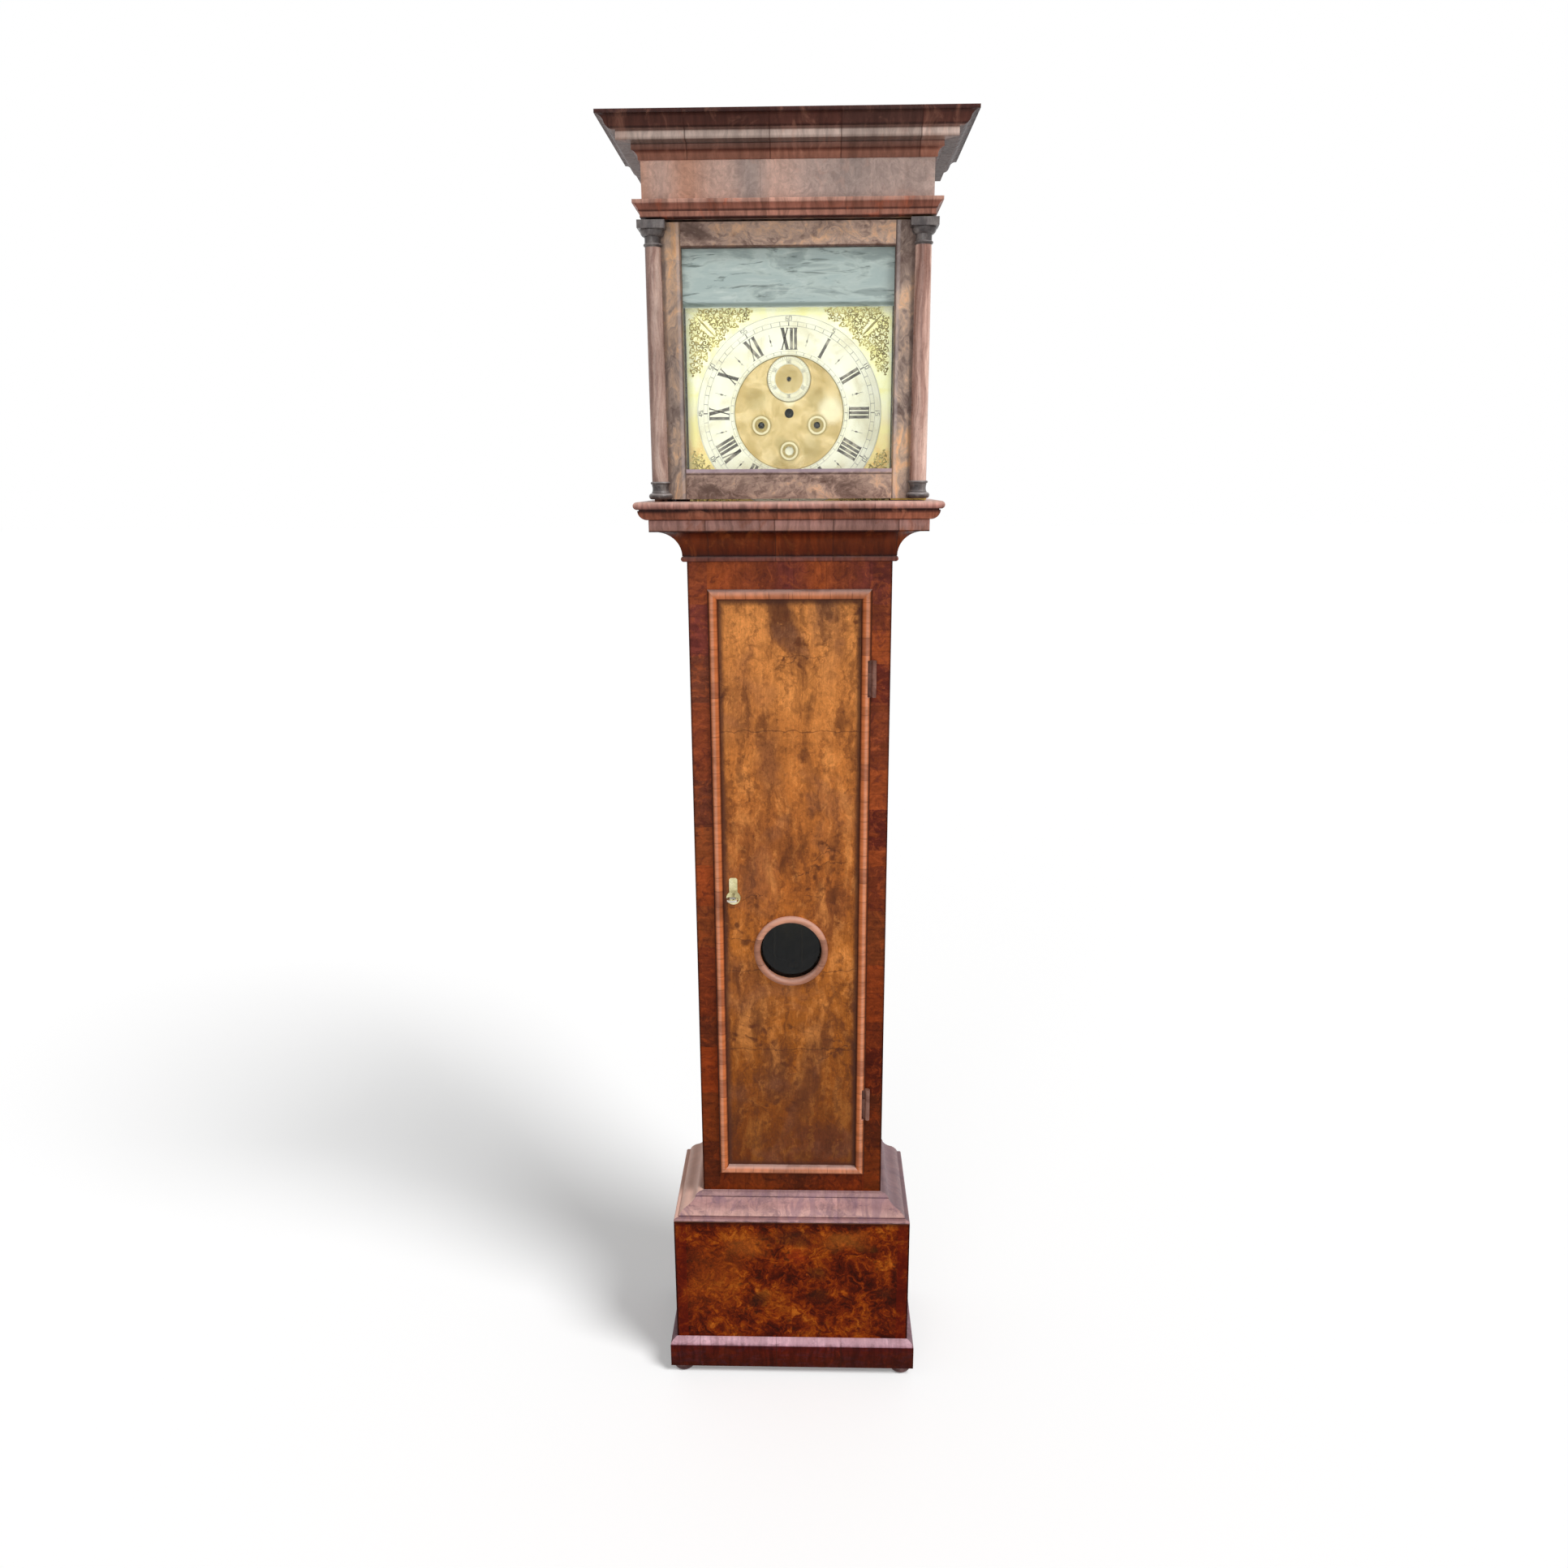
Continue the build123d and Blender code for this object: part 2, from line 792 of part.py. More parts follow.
leaf_outer_x = knuckle_x + leaf_lap
middle_leaf_x = (notch_x + knuckle_x - leaf_lap) / 2
fixed_leaves = []
moving_leaves = []
leaf_recesses = []
for height in trunk_hinge_heights:
    low = height - trunk_hinge_length / 2
    high = height + trunk_hinge_length / 2
    third = trunk_hinge_length / 3
    with BuildPart() as fixed_leaf:
        add(hinge_barrel((low, low + third), knuckle_x, knuckle_y))
        add(hinge_barrel((high - third, high), knuckle_x, knuckle_y))
        with BuildSketch(Plane.XY.offset(low)):
            with Locations((knuckle_x, knuckle_y)):
                Circle(hinge_pin_radius)
        extrude(amount=trunk_hinge_length)
        with BuildSketch(Plane.XY.offset(low)):
            with Locations(((opening_half_width + leaf_outer_x) / 2, face_y + leaf_thickness / 2)):
                Rectangle(leaf_outer_x - opening_half_width, leaf_thickness)
        extrude(amount=trunk_hinge_length)
        with BuildSketch(Plane.XY.offset(low)):
            with Locations((knuckle_x, (knuckle_y + face_y) / 2)):
                Rectangle(2 * leaf_thickness, face_y - knuckle_y)
        extrude(amount=third)
        with BuildSketch(Plane.XY.offset(high - third)):
            with Locations((knuckle_x, (knuckle_y + face_y) / 2)):
                Rectangle(2 * leaf_thickness, face_y - knuckle_y)
        extrude(amount=third)
    fixed_leaves.append(fixed_leaf.part)
    leaf_recesses.append(
        slab((opening_half_width, leaf_outer_x), (face_y, face_y + leaf_thickness), (low, high))
    )
    with BuildPart() as moving_leaf:
        add(
            hinge_barrel(
                (low + third + small_gap, high - third - small_gap),
                knuckle_x,
                knuckle_y,
                hinge_pin_radius + running_clearance,
            )
        )
        with BuildSketch(Plane.XY.offset(low + third + small_gap)):
            with Locations((middle_leaf_x, door_face_y - leaf_thickness / 2)):
                Rectangle(knuckle_x - leaf_lap - notch_x, leaf_thickness)
        extrude(amount=third - 2 * small_gap)
    moving_leaves.append(moving_leaf.part)
save("trunk_hinge_fixed_leaves", *fixed_leaves)
save("trunk_hinge_door_leaves", *moving_leaves)

with BuildPart() as hinge_stile:
    add(stile)
    for recess in leaf_recesses:
        add(recess, mode=Mode.SUBTRACT)
save("trunk_front", hinge_stile.part, mirror(stile, about=Plane.YZ), lower_rail, upper_rail)

# Lock, bolt, key and escutcheon

lock_front_y = inside_y
lock_back_y = inside_y + lock_depth
bolt_low = key_height + key_bit_length + bolt_rise
bolt_left = -door_half + bolt_inset
bit_front_y = lock_front_y + lock_wall + 2 * small_gap
bit_back_y = lock_back_y - lock_wall - 2 * small_gap
with BuildPart() as lock_case:
    with BuildSketch(front_plane(lock_back_y, key_x, key_height)):
        Rectangle(lock_width, lock_height)
    extrude(amount=lock_depth)
    with BuildSketch(front_plane(lock_back_y - lock_wall, key_x, key_height)):
        Rectangle(lock_width - 2 * lock_wall, lock_height - 2 * lock_wall)
    extrude(amount=lock_depth - 2 * lock_wall, mode=Mode.SUBTRACT)
    with BuildSketch(front_plane(lock_front_y + lock_wall, key_x, key_height)):
        Circle(keyhole_radius)
        with Locations((0, -key_bit_length / 2)):
            Rectangle(keyhole_slot, key_bit_length + keyhole_relief)
    extrude(amount=lock_wall, mode=Mode.SUBTRACT)
    with BuildSketch(front_plane(lock_back_y, key_x, key_height)):
        Circle(key_shaft_radius + running_clearance)
    extrude(amount=lock_wall, mode=Mode.SUBTRACT)
    with BuildSketch(front_plane(lock_back_y - lock_wall - small_gap)):
        with Locations((key_x - lock_width / 2 + lock_wall / 2, bolt_low + bolt_height / 2)):
            Rectangle(lock_wall, bolt_height + 2 * running_clearance)
    extrude(amount=lock_depth - 2 * lock_wall - 2 * small_gap, mode=Mode.SUBTRACT)
save("lock_case", lock_case.part)
save(
    "lock_bolt",
    slab(
        (bolt_left, bolt_left + bolt_length),
        (bit_front_y, bit_back_y),
        (bolt_low, bolt_low + bolt_height),
    ),
)

with BuildPart() as escutcheon:
    with BuildSketch(front_plane(door_face_y, key_x, key_height)):
        with Locations((0, -escutcheon_drop)):
            Circle(escutcheon_radius)
        with Locations((0, (escutcheon_rise - escutcheon_drop) / 2)):
            RectangleRounded(escutcheon_width, escutcheon_rise + escutcheon_drop, escutcheon_corner)
        Circle(keyhole_radius, mode=Mode.SUBTRACT)
        with Locations((0, -key_bit_length / 2)):
            Rectangle(keyhole_slot, key_bit_length + keyhole_relief, mode=Mode.SUBTRACT)
    extrude(amount=escutcheon_thickness)
save("escutcheon", escutcheon.part)

bow_y = door_face_y - escutcheon_thickness - key_bow_reach
bow_centre = (key_x, bow_y - key_bow_radius + key_bow_thickness / 2, key_height)
with BuildPart() as trunk_key:
    with BuildSketch(front_plane(lock_back_y, key_x, key_height)):
        Circle(key_shaft_radius)
    extrude(amount=lock_back_y - bow_y)
    with BuildSketch(Plane(origin=bow_centre, x_dir=(1, 0, 0), z_dir=(0, 0, 1))):
        Circle(key_bow_radius)
        Circle(key_bow_radius - key_bow_thickness, mode=Mode.SUBTRACT)
    extrude(amount=key_bow_thickness / 2, both=True)
    with BuildSketch(front_plane(bit_back_y, key_x, key_height)):
        with Locations((0, -key_bit_length / 2)):
            Rectangle(keyhole_slot - key_bit_clearance, key_bit_length)
    extrude(amount=bit_back_y - bit_front_y)
save("trunk_key", trunk_key.part)

# Hood: solid mouldings below and above, boards between them

hood_inside_y = hood_front_y + hood_board
rail_y = (hood_inside_y, hood_inside_y + rail_depth)
side_front_y = door_back_y + hood_door_gap
pivot_bore = pivot_radius + running_clearance
base_front_run, base_side_run, base_side_twin = mitred_moulding(hood_base_profile)
architrave_front, architrave_side, architrave_twin = mitred_moulding(architrave_profile)


def bored_run(run, z_start, depth):
    """The right-hand return of a moulding with the blind hole that takes the door's pivot."""
    with BuildPart() as bored:
        add(run)
        with BuildSketch(Plane.XY.offset(z_start)):
            with Locations((pivot_x, pivot_y)):
                Circle(pivot_bore)
        extrude(amount=depth, mode=Mode.SUBTRACT)
    return bored.part


save(
    "hood_base_moulding",
    base_front_run,
    bored_run(base_side_run, sill_top, -pivot_reach - pivot_relief),
    base_side_twin,
)
save(
    "architrave_moulding",
    architrave_front,
    bored_run(architrave_side, lintel_bottom, pivot_reach + pivot_relief),
    architrave_twin,
)
save(
    "hood_rails",
    slab((-hood_inside, hood_inside), rail_y, (hood_floor, sill_top)),
    slab((-hood_inside, hood_inside), rail_y, (lintel_bottom, frieze_bottom)),
)
hood_side = slab((hood_inside, half_hood), (side_front_y, back_y), (sill_top, lintel_bottom))
save("hood_sides", *with_mirror(hood_side))
frieze_z = (frieze_bottom, carcase_top)
frieze_side = slab((hood_inside, half_hood), (hood_inside_y, back_y), frieze_z)
frieze_front = slab((-half_hood, half_hood), (hood_front_y, hood_inside_y), frieze_z)
save("hood_frieze", frieze_front, *with_mirror(frieze_side))
save(
    "hood_roof",
    slab((-hood_inside, hood_inside), (hood_inside_y, back_y), (carcase_top - roof_board, carcase_top)),
)
save("cornice", *mitred_moulding(cornice_profile))

# Hood door: stiles with a three-quarter column nested round each outer corner

strap_room = strap_thickness + hood_door_gap
hood_door_bottom = sill_top + strap_room
hood_door_top = lintel_bottom - strap_room
dial_opening_bottom = hood_door_bottom + lower_door_rail
dial_opening_top = hood_door_top - upper_door_rail
opening_half = column_x - door_stile_width
door_stile = slab((opening_half, column_x), (door_front_y, door_back_y), (hood_door_bottom, hood_door_top))
save("hood_door_stiles", *with_mirror(door_stile))


def door_rail(bottom, top, rebate_edge):
    """A rail of the hood door, rebated at the back on one edge for the glass."""
    with BuildPart() as rail:
        add(slab((-opening_half, opening_half), (door_front_y, door_back_y), (bottom, top)))
        with BuildSketch(front_plane(door_back_y)):
            with Locations((0, rebate_edge)):
                Rectangle(2 * opening_half, 2 * glass_rebate)
        extrude(amount=hood_door_thickness / 2, mode=Mode.SUBTRACT)
    return rail.part


save(
    "hood_door_rails",
    door_rail(hood_door_bottom, dial_opening_bottom, dial_opening_bottom),
    door_rail(dial_opening_top, hood_door_top, dial_opening_top),
)
glass_y = door_back_y - hood_door_thickness / 2
save(
    "hood_door_glass",
    slab(
        (-opening_half, opening_half),
        (glass_y, glass_y + pane_thickness),
        (dial_opening_bottom - glass_rebate, dial_opening_top + glass_rebate),
    ),
)


def around_column(profile):
    """Turned work round the right-hand column, less the quarter where the stile stands."""
    with BuildPart() as turned:
        with BuildSketch(Plane(origin=(column_x, column_y, 0), x_dir=(1, 0, 0), z_dir=(0, -1, 0))):
            with BuildLine():
                profile()
            make_face()
        revolve(axis=Axis((column_x, column_y, 0), (0, 0, 1)))
        with BuildSketch(Plane.XY.offset(hood_door_bottom)):
            with Locations((column_x - capital_half, column_y + capital_half)):
                Rectangle(2 * capital_half, 2 * capital_half)
        extrude(amount=hood_door_top - hood_door_bottom, mode=Mode.SUBTRACT)
    return turned.part


shaft_bottom = hood_door_bottom + column_base_height
shaft_top = hood_door_top - capital_height


def shaft_profile():
    slim = column_radius - shaft_taper
    swell_z = shaft_bottom + entasis_height * (shaft_top - shaft_bottom)
    Polyline((slim, shaft_top), (0, shaft_top), (0, shaft_bottom), (column_radius, shaft_bottom))
    swell = (column_radius - shaft_taper / 8, swell_z)
    ThreePointArc((column_radius, shaft_bottom), swell, (slim, shaft_top))


def column_base_profile():
    outer = column_base_radius - base_torus_radius
    neck = column_radius + base_neck
    torus_top = hood_door_bottom + 2 * base_torus_radius
    bead_low = shaft_bottom - 2 * astragal_radius
    scotia_top = (neck, bead_low - astragal_radius)
    scotia_end = (outer, torus_top + scotia_fillet)
    Polyline((outer, hood_door_bottom), (0, hood_door_bottom), (0, shaft_bottom), (neck, shaft_bottom))
    bead_arc(neck, shaft_bottom, bead_low)
    Line((neck, bead_low), scotia_top)
    bowed(scotia_top, scotia_end, -cyma_bow)
    Line(scotia_end, (outer, torus_top))
    bead_arc(outer, torus_top, hood_door_bottom)


def capital_profile():
    neck = column_radius - shaft_taper
    ring_low = shaft_top + capital_neck
    ring_high = ring_low + 2 * astragal_radius
    echinus_top = (capital_half - abacus_overhang, hood_door_top - abacus_height)
    echinus_low = (neck + echinus_foot, echinus_top[1] - echinus_height)
    Polyline((neck, ring_low), (neck, shaft_top), (0, shaft_top), (0, echinus_top[1]), echinus_top)
    bowed(echinus_top, echinus_low, ovolo_bow)
    Polyline(echinus_low, (neck, echinus_low[1]), (neck, ring_high))
    bead_arc(neck, ring_high, ring_low)


with BuildPart() as column_capital:
    add(around_column(capital_profile))
    with BuildSketch(Plane.XY.offset(hood_door_top - abacus_height)):
        with BuildLine():
            Polyline(
                (column_x - capital_half, column_y),
                (column_x - capital_half, column_y - capital_half),
                (column_x + capital_half, column_y - capital_half),
                (column_x + capital_half, column_y + column_radius),
                (column_x, column_y + column_radius),
                (column_x, column_y),
                close=True,
            )
        make_face()
    extrude(amount=abacus_height)
save("column_shafts", *with_mirror(around_column(shaft_profile)))
save("column_bases", *with_mirror(around_column(column_base_profile)))
save("column_capitals", *with_mirror(column_capital.part))


def pivot_strap(face, inward):
    """A plate let in between the door and the hood, with its pin; inward is +1 towards the door."""
    with BuildPart() as strap:
        with BuildSketch(Plane.XY.offset(face)):
            with Locations(((column_x - strap_length + pivot_x) / 2, pivot_y)):
                Rectangle(pivot_x - column_x + strap_length, strap_width)
            with Locations((pivot_x, pivot_y)):
                Circle(strap_width / 2)
        extrude(amount=inward * strap_thickness)
        with BuildSketch(Plane.XY.offset(face + inward * strap_thickness)):
            with Locations((pivot_x, pivot_y)):
                Circle(pivot_radius)
        extrude(amount=-inward * (strap_room + pivot_reach))
    return strap.part


save(
    "hood_door_pivots",
    pivot_strap(sill_top + hood_door_gap, 1),
    pivot_strap(lintel_bottom - hood_door_gap, -1),
)

# Dial, with its openings; heights here are measured from the dial's centre

great_distance = train_module * (great_wheel_teeth + centre_pinion_leaves) / 2
winding_drop = sqrt(great_distance**2 - winding_x**2)
third_distance = centre_module * (centre_wheel_teeth + third_pinion_leaves) / 2
escape_distance = third_module * (third_wheel_teeth + escape_pinion_leaves) / 2
third_rise = (third_distance**2 - escape_distance**2 + seconds_height**2) / (2 * seconds_height)
third_x = sqrt(third_distance**2 - third_rise**2)


def dial_face(y):
    """A plane that faces the viewer with its origin at the dial's centre."""
    return front_plane(y, 0, dial_centre_height)


with BuildPart() as dial_plate:
    with BuildSketch(dial_face(dial_back_y)):
        Rectangle(dial_size, dial_size)
        Circle(centre_hole_radius, mode=Mode.SUBTRACT)
        with Locations((0, seconds_height)):
            Circle(seconds_hole_radius, mode=Mode.SUBTRACT)
        with Locations((-winding_x, -winding_drop), (winding_x, -winding_drop)):
            Circle(winding_hole_radius, mode=Mode.SUBTRACT)
        with Locations((0, -date_drop)):
            Circle(date_hole_radius, mode=Mode.SUBTRACT)
    extrude(amount=dial_thickness)
    with BuildSketch(dial_face(dial_y)):
        with Locations((-winding_x, -winding_drop), (winding_x, -winding_drop), (0, -date_drop)):
            Circle(collet_radius)
            Circle(collet_radius - collet_width, mode=Mode.SUBTRACT)
    extrude(amount=collet_height)
    with BuildSketch(dial_face(dial_back_y)):
        with Locations((0, -date_drop - date_disc_offset)):
            Circle(date_stud_radius)
    extrude(amount=-date_disc_thickness - 3 * small_gap)
    with BuildSketch(dial_face(front_plate_y)):
        for foot_height_above in (dial_foot_above, -dial_foot_below):
            with Locations((-dial_foot_x, foot_height_above), (dial_foot_x, foot_height_above)):
                Circle(dial_foot_radius)
    extrude(amount=front_plate_y - dial_back_y)
save("dial_plate", dial_plate.part)

with BuildPart() as chapter_ring:
    with BuildSketch(dial_face(dial_y)):
        Circle(chapter_outer_radius)
        Circle(chapter_inner_radius, mode=Mode.SUBTRACT)
    extrude(amount=ring_thickness)
save("chapter_ring", chapter_ring.part)

with BuildPart() as seconds_ring:
    with BuildSketch(dial_face(dial_y)):
        with Locations((0, seconds_height)):
            Circle(seconds_outer_radius)
            Circle(seconds_inner_radius, mode=Mode.SUBTRACT)
    extrude(amount=seconds_ring_thickness)
save("seconds_ring", seconds_ring.part)

spandrel_edge = dial_size / 2 - spandrel_margin
with BuildPart() as spandrel:
    with BuildSketch(dial_face(dial_y)):
        with Locations(((spandrel_start + spandrel_edge) / 2, (spandrel_start + spandrel_edge) / 2)):
            Rectangle(spandrel_edge - spandrel_start, spandrel_edge - spandrel_start)
        Circle(chapter_outer_radius + spandrel_gap, mode=Mode.SUBTRACT)
    extrude(amount=spandrel_thickness)
upper_spandrels = with_mirror(spandrel.part)
dial_level = Plane.XY.offset(dial_centre_height)
save("spandrels", *upper_spandrels, *[mirror(piece, about=dial_level) for piece in upper_spandrels])

with BuildPart() as date_disc:
    with BuildSketch(dial_face(dial_back_y + small_gap + date_disc_thickness)):
        with Locations((0, -date_drop - date_disc_offset)):
            Circle(date_disc_radius - date_tooth_depth)
            with PolarLocations(date_disc_radius - date_tooth_depth - date_tooth_root, date_teeth):
                Triangle(
                    a=date_tooth_width,
                    b=date_tooth_side,
                    c=date_tooth_side,
                    align=(Align.CENTER, Align.MIN),
                    rotation=-90,
                )
            Circle(date_stud_radius + running_clearance, mode=Mode.SUBTRACT)
    extrude(amount=date_disc_thickness)
save("date_disc", date_disc.part)

# Movement: two plates on five pillars, standing on the seatboard

barrel_front_y = back_plate_y - barrel_setback - barrel_length
barrel_middle_y = barrel_front_y + barrel_length / 2
line_offset = barrel_radius + line_radius + small_gap
pulley_offset = pulley_groove_radius + line_radius + small_gap
pulley_places = {side: side * winding_x - line_offset + pulley_offset for side in (1, -1)}

seat_y = (seatboard_front, seatboard_front + seatboard_depth)
with BuildPart() as seatboard:
    add(slab((-half_trunk, half_trunk), seat_y, (seat_bottom, seat_top)))
    with BuildSketch(Plane.XY.offset(seat_top)):
        for place in pulley_places.values():
            for hole_x in (place - pulley_offset, place + pulley_offset):
                with Locations((hole_x, barrel_middle_y)):
                    Circle(line_hole_radius)
    extrude(amount=-seatboard_thickness, mode=Mode.SUBTRACT)
save("seatboard", seatboard.part)

pivot_holes = (
    (0, 0, arbor_radius),
    (third_x, third_rise, arbor_radius),
    (0, seconds_height, arbor_radius),
    (winding_x, -winding_drop, barrel_arbor_radius),
    (-winding_x, -winding_drop, barrel_arbor_radius),
    (hammer_x, hammer_rise, arbor_radius),
)


def movement_plate(rear_y, pallet_radius):
    """A plate of the movement with a hole for every arbor."""
    with BuildPart() as plate:
        with BuildSketch(dial_face(rear_y)):
            with Locations((0, (plate_above - plate_below) / 2)):
                Rectangle(2 * plate_half_width, plate_above + plate_below)
            for x, height, radius in pivot_holes:
                with Locations((x, height)):
                    Circle(radius + pivot_hole_clearance, mode=Mode.SUBTRACT)
            with Locations((0, pallet_height)):
                Circle(pallet_radius, mode=Mode.SUBTRACT)
        extrude(amount=plate_thickness)
    return plate.part


pillar_x = plate_half_width - pillar_inset
upper_pillar = plate_above - pillar_drop
lower_pillar = pillar_drop - plate_below
with BuildPart() as pillar_set:
    with BuildSketch(dial_face(back_plate_y)):
        with Locations((-pillar_x, upper_pillar), (pillar_x, upper_pillar)):
            Circle(pillar_radius)
        with Locations((-pillar_x, lower_pillar), (pillar_x, lower_pillar)):
            Circle(pillar_radius)
        with Locations((0, lower_pillar_rise - plate_below)):
            Circle(pillar_radius)
    extrude(amount=plate_gap)
save(
    "movement_frame",
    movement_plate(train_y, arbor_radius + pivot_hole_clearance),
    movement_plate(back_plate_rear, 2 * arbor_radius),
    *pillar_set.part.solids(),
)


def polar(radius, angle):
    """A point at a radius and an angle in radians from +X."""
    return (radius * cos(angle), radius * sin(angle))


def wheel_outline(teeth, module, phase):
    """Wheel teeth: radial flanks below the pitch line and a curved point above it."""
    pitch_radius = module * teeth / 2
    half_width = 0.72 * module / pitch_radius
    shape = ((-0.8, 1.0), (0.0, 1.0), (0.52, 0.83), (1.03, 0.48), (1.15, 0.37))
    points = []
    for tooth in range(teeth):
        middle = phase + 2 * pi * tooth / teeth
        for rise, share in shape:
            points.append(polar(pitch_radius + rise * module, middle - share * half_width))
        for rise, share in reversed(shape):
            points.append(polar(pitch_radius + rise * module, middle + share * half_width))
    return points


def pinion_outline(leaves, module, phase):
    """Pinion leaves: radial flanks with rounded ends."""
    pitch_radius = module * leaves / 2
    half_width = 0.5 * module / pitch_radius
    shape = ((-1.45, 1.0), (0.0, 1.0), (0.25, 0.84), (0.5, 0.35))
    points = []
    for leaf in range(leaves):
        middle = phase + 2 * pi * leaf / leaves
        for rise, share in shape:
            points.append(polar(pitch_radius + rise * module, middle - share * half_width))
        for rise, share in reversed(shape):
            points.append(polar(pitch_radius + rise * module, middle + share * half_width))
    return points


def escape_outline(radius, teeth, phase):
    """Pointed teeth, upright on the leading side and sloped behind."""
    pitch = 2 * pi / teeth
    points = []
    for tooth in range(teeth):
        tip = phase + pitch * tooth
        points.append(polar(radius, tip - 0.04 * pitch))
        points.append(polar(radius, tip + 0.04 * pitch))
        points.append(polar(escape_root_share * radius, tip + 0.12 * pitch))
        points.append(polar(escape_root_share * radius, tip + 0.62 * pitch))
    return points


def crossed_wheel(centre, y_rear, thickness, outline, rim_radius, bore=0):
    """A crossed-out wheel with four arms, centred on an arbor."""
    with BuildPart() as toothed:
        with BuildSketch(front_plane(y_rear, centre[0], dial_centre_height + centre[1])):
            with BuildLine():
                Polyline(*outline, close=True)
            make_face()
            Circle(rim_radius, mode=Mode.SUBTRACT)
            Circle(hub_radius)
            Rectangle(2 * rim_radius + 1, arm_width)
            Rectangle(arm_width, 2 * rim_radius + 1)
            if bore:
                Circle(bore, mode=Mode.SUBTRACT)
        extrude(amount=thickness)
    return toothed.part


def toothed_wheel(centre, y_rear, thickness, teeth, module, phase, bore=0):
    """A crossed-out wheel of a train."""
    rim_radius = module * teeth / 2 - wheel_rim
    outline = wheel_outline(teeth, module, phase)
    return crossed_wheel(centre, y_rear, thickness, outline, rim_radius, bore)


def pinion(centre, driver_y, driver_thickness, margin, leaves, module, way_to_driver):
    """A pinion that stands out by a margin on both sides of the wheel that drives it."""
    phase = way_to_driver + pi / leaves
    with BuildPart() as piece:
        with BuildSketch(front_plane(driver_y + margin, centre[0], dial_centre_height + centre[1])):
            with BuildLine():
                Polyline(*pinion_outline(leaves, module, phase), close=True)
            make_face()
        extrude(amount=driver_thickness + 2 * margin)
    return piece.part


def joined(*solids):
    """Several solids fused into one piece."""
    with BuildPart() as piece:
        for solid in solids:
            add(solid)
    return piece.part


third_place = (third_x, third_rise)
going_place = (winding_x, -winding_drop)
strike_place = (-winding_x, -winding_drop)
escape_place = (0, seconds_height)
to_third = atan2(third_rise, third_x)
to_escape = atan2(seconds_height - third_rise, -third_x)
to_centre = atan2(winding_drop, -winding_x)
centre_wheel_y = train_y + centre_wheel_setback
third_wheel_y = centre_wheel_y + third_wheel_step
great_wheel_y = back_plate_y - great_wheel_setback
escape_wheel_y = back_plate_y - escape_wheel_setback

save(
    "centre_wheel",
    joined(
        toothed_wheel((0, 0), centre_wheel_y, thin_wheel, centre_wheel_teeth, centre_module, to_third),
        pinion(
            (0, 0),
            great_wheel_y,
            wheel_thickness,
            pinion_margin,
            centre_pinion_leaves,
            train_module,
            to_centre + pi,
        ),
        arbor(front_plate_y - centre_arbor_reach, back_plate_rear, arbor_radius, 0, 0),
    ),
)
save(
    "third_wheel",
    joined(
        toothed_wheel(third_place, third_wheel_y, thin_wheel, third_wheel_teeth, third_module, to_escape),
        pinion(
            third_place,
            centre_wheel_y,
            thin_wheel,
            third_pinion_margin,
            third_pinion_leaves,
            centre_module,
            to_third + pi,
        ),
        arbor(front_plate_y, back_plate_rear, arbor_radius, *third_place),
    ),
)
tip_angle = pi / 4 + radians(escape_phase)
save(
    "escape_wheel",
    joined(
        crossed_wheel(
            escape_place,
            escape_wheel_y,
            escape_thickness,
            escape_outline(escape_radius, escape_teeth, tip_angle),
            escape_root_share * escape_radius - escape_rim,
        ),
        pinion(
            escape_place,
            third_wheel_y,
            thin_wheel,
            pinion_margin,
            escape_pinion_leaves,
            third_module,
            to_escape + pi,
        ),
        arbor(dial_back_y + seconds_arbor_gap, back_plate_rear, arbor_radius, *escape_place),
    ),
)
great_bore = barrel_arbor_radius + running_clearance
save(
    "great_wheel",
    toothed_wheel(
        going_place,
        great_wheel_y,
        wheel_thickness,
        great_wheel_teeth,
        train_module,
        to_centre,
        great_bore,
    ),
)


def barrel(place):
    """A line barrel with its flanges and its arbor, squared in front for the winding key."""
    with BuildPart() as drum:
        add(arbor(barrel_front_y, barrel_front_y + barrel_length, barrel_radius, *place))
        for flange_y in (barrel_front_y - flange, barrel_front_y + barrel_length):
            add(arbor(flange_y, flange_y + flange, barrel_radius + line_radius + flange_lip, *place))
        add(arbor(front_plate_y, back_plate_rear, barrel_arbor_radius, *place))
        with BuildSketch(front_plane(front_plate_y, place[0], dial_centre_height + place[1])):
            Rectangle(winding_square, winding_square)
        extrude(amount=front_plate_y - dial_back_y - square_gap)
    return drum.part


save("going_barrel", barrel(going_place))
save(
    "strike_barrel",
    joined(
        barrel(strike_place),
        toothed_wheel(strike_place, great_wheel_y, wheel_thickness, strike_wheel_teeth, strike_module, 0),
    ),
)

# Escapement: an anchor over the wheel, a crutch behind the back plate

swing_place = (0, pallet_height)
crutch_y = back_plate_rear + crutch_gap
crutch_back_y = crutch_y + crutch_thickness
fork_gap = rod_radius + fork_clearance
fork_top = swing_z - crutch_drop
fork_bottom = fork_top - fork_width


def beside_wheel(out, along):
    """A point measured outwards and along from where a pallet meets the escape wheel."""
    return ((out + along) * sin(pi / 4), seconds_height + (out - along) * cos(pi / 4))


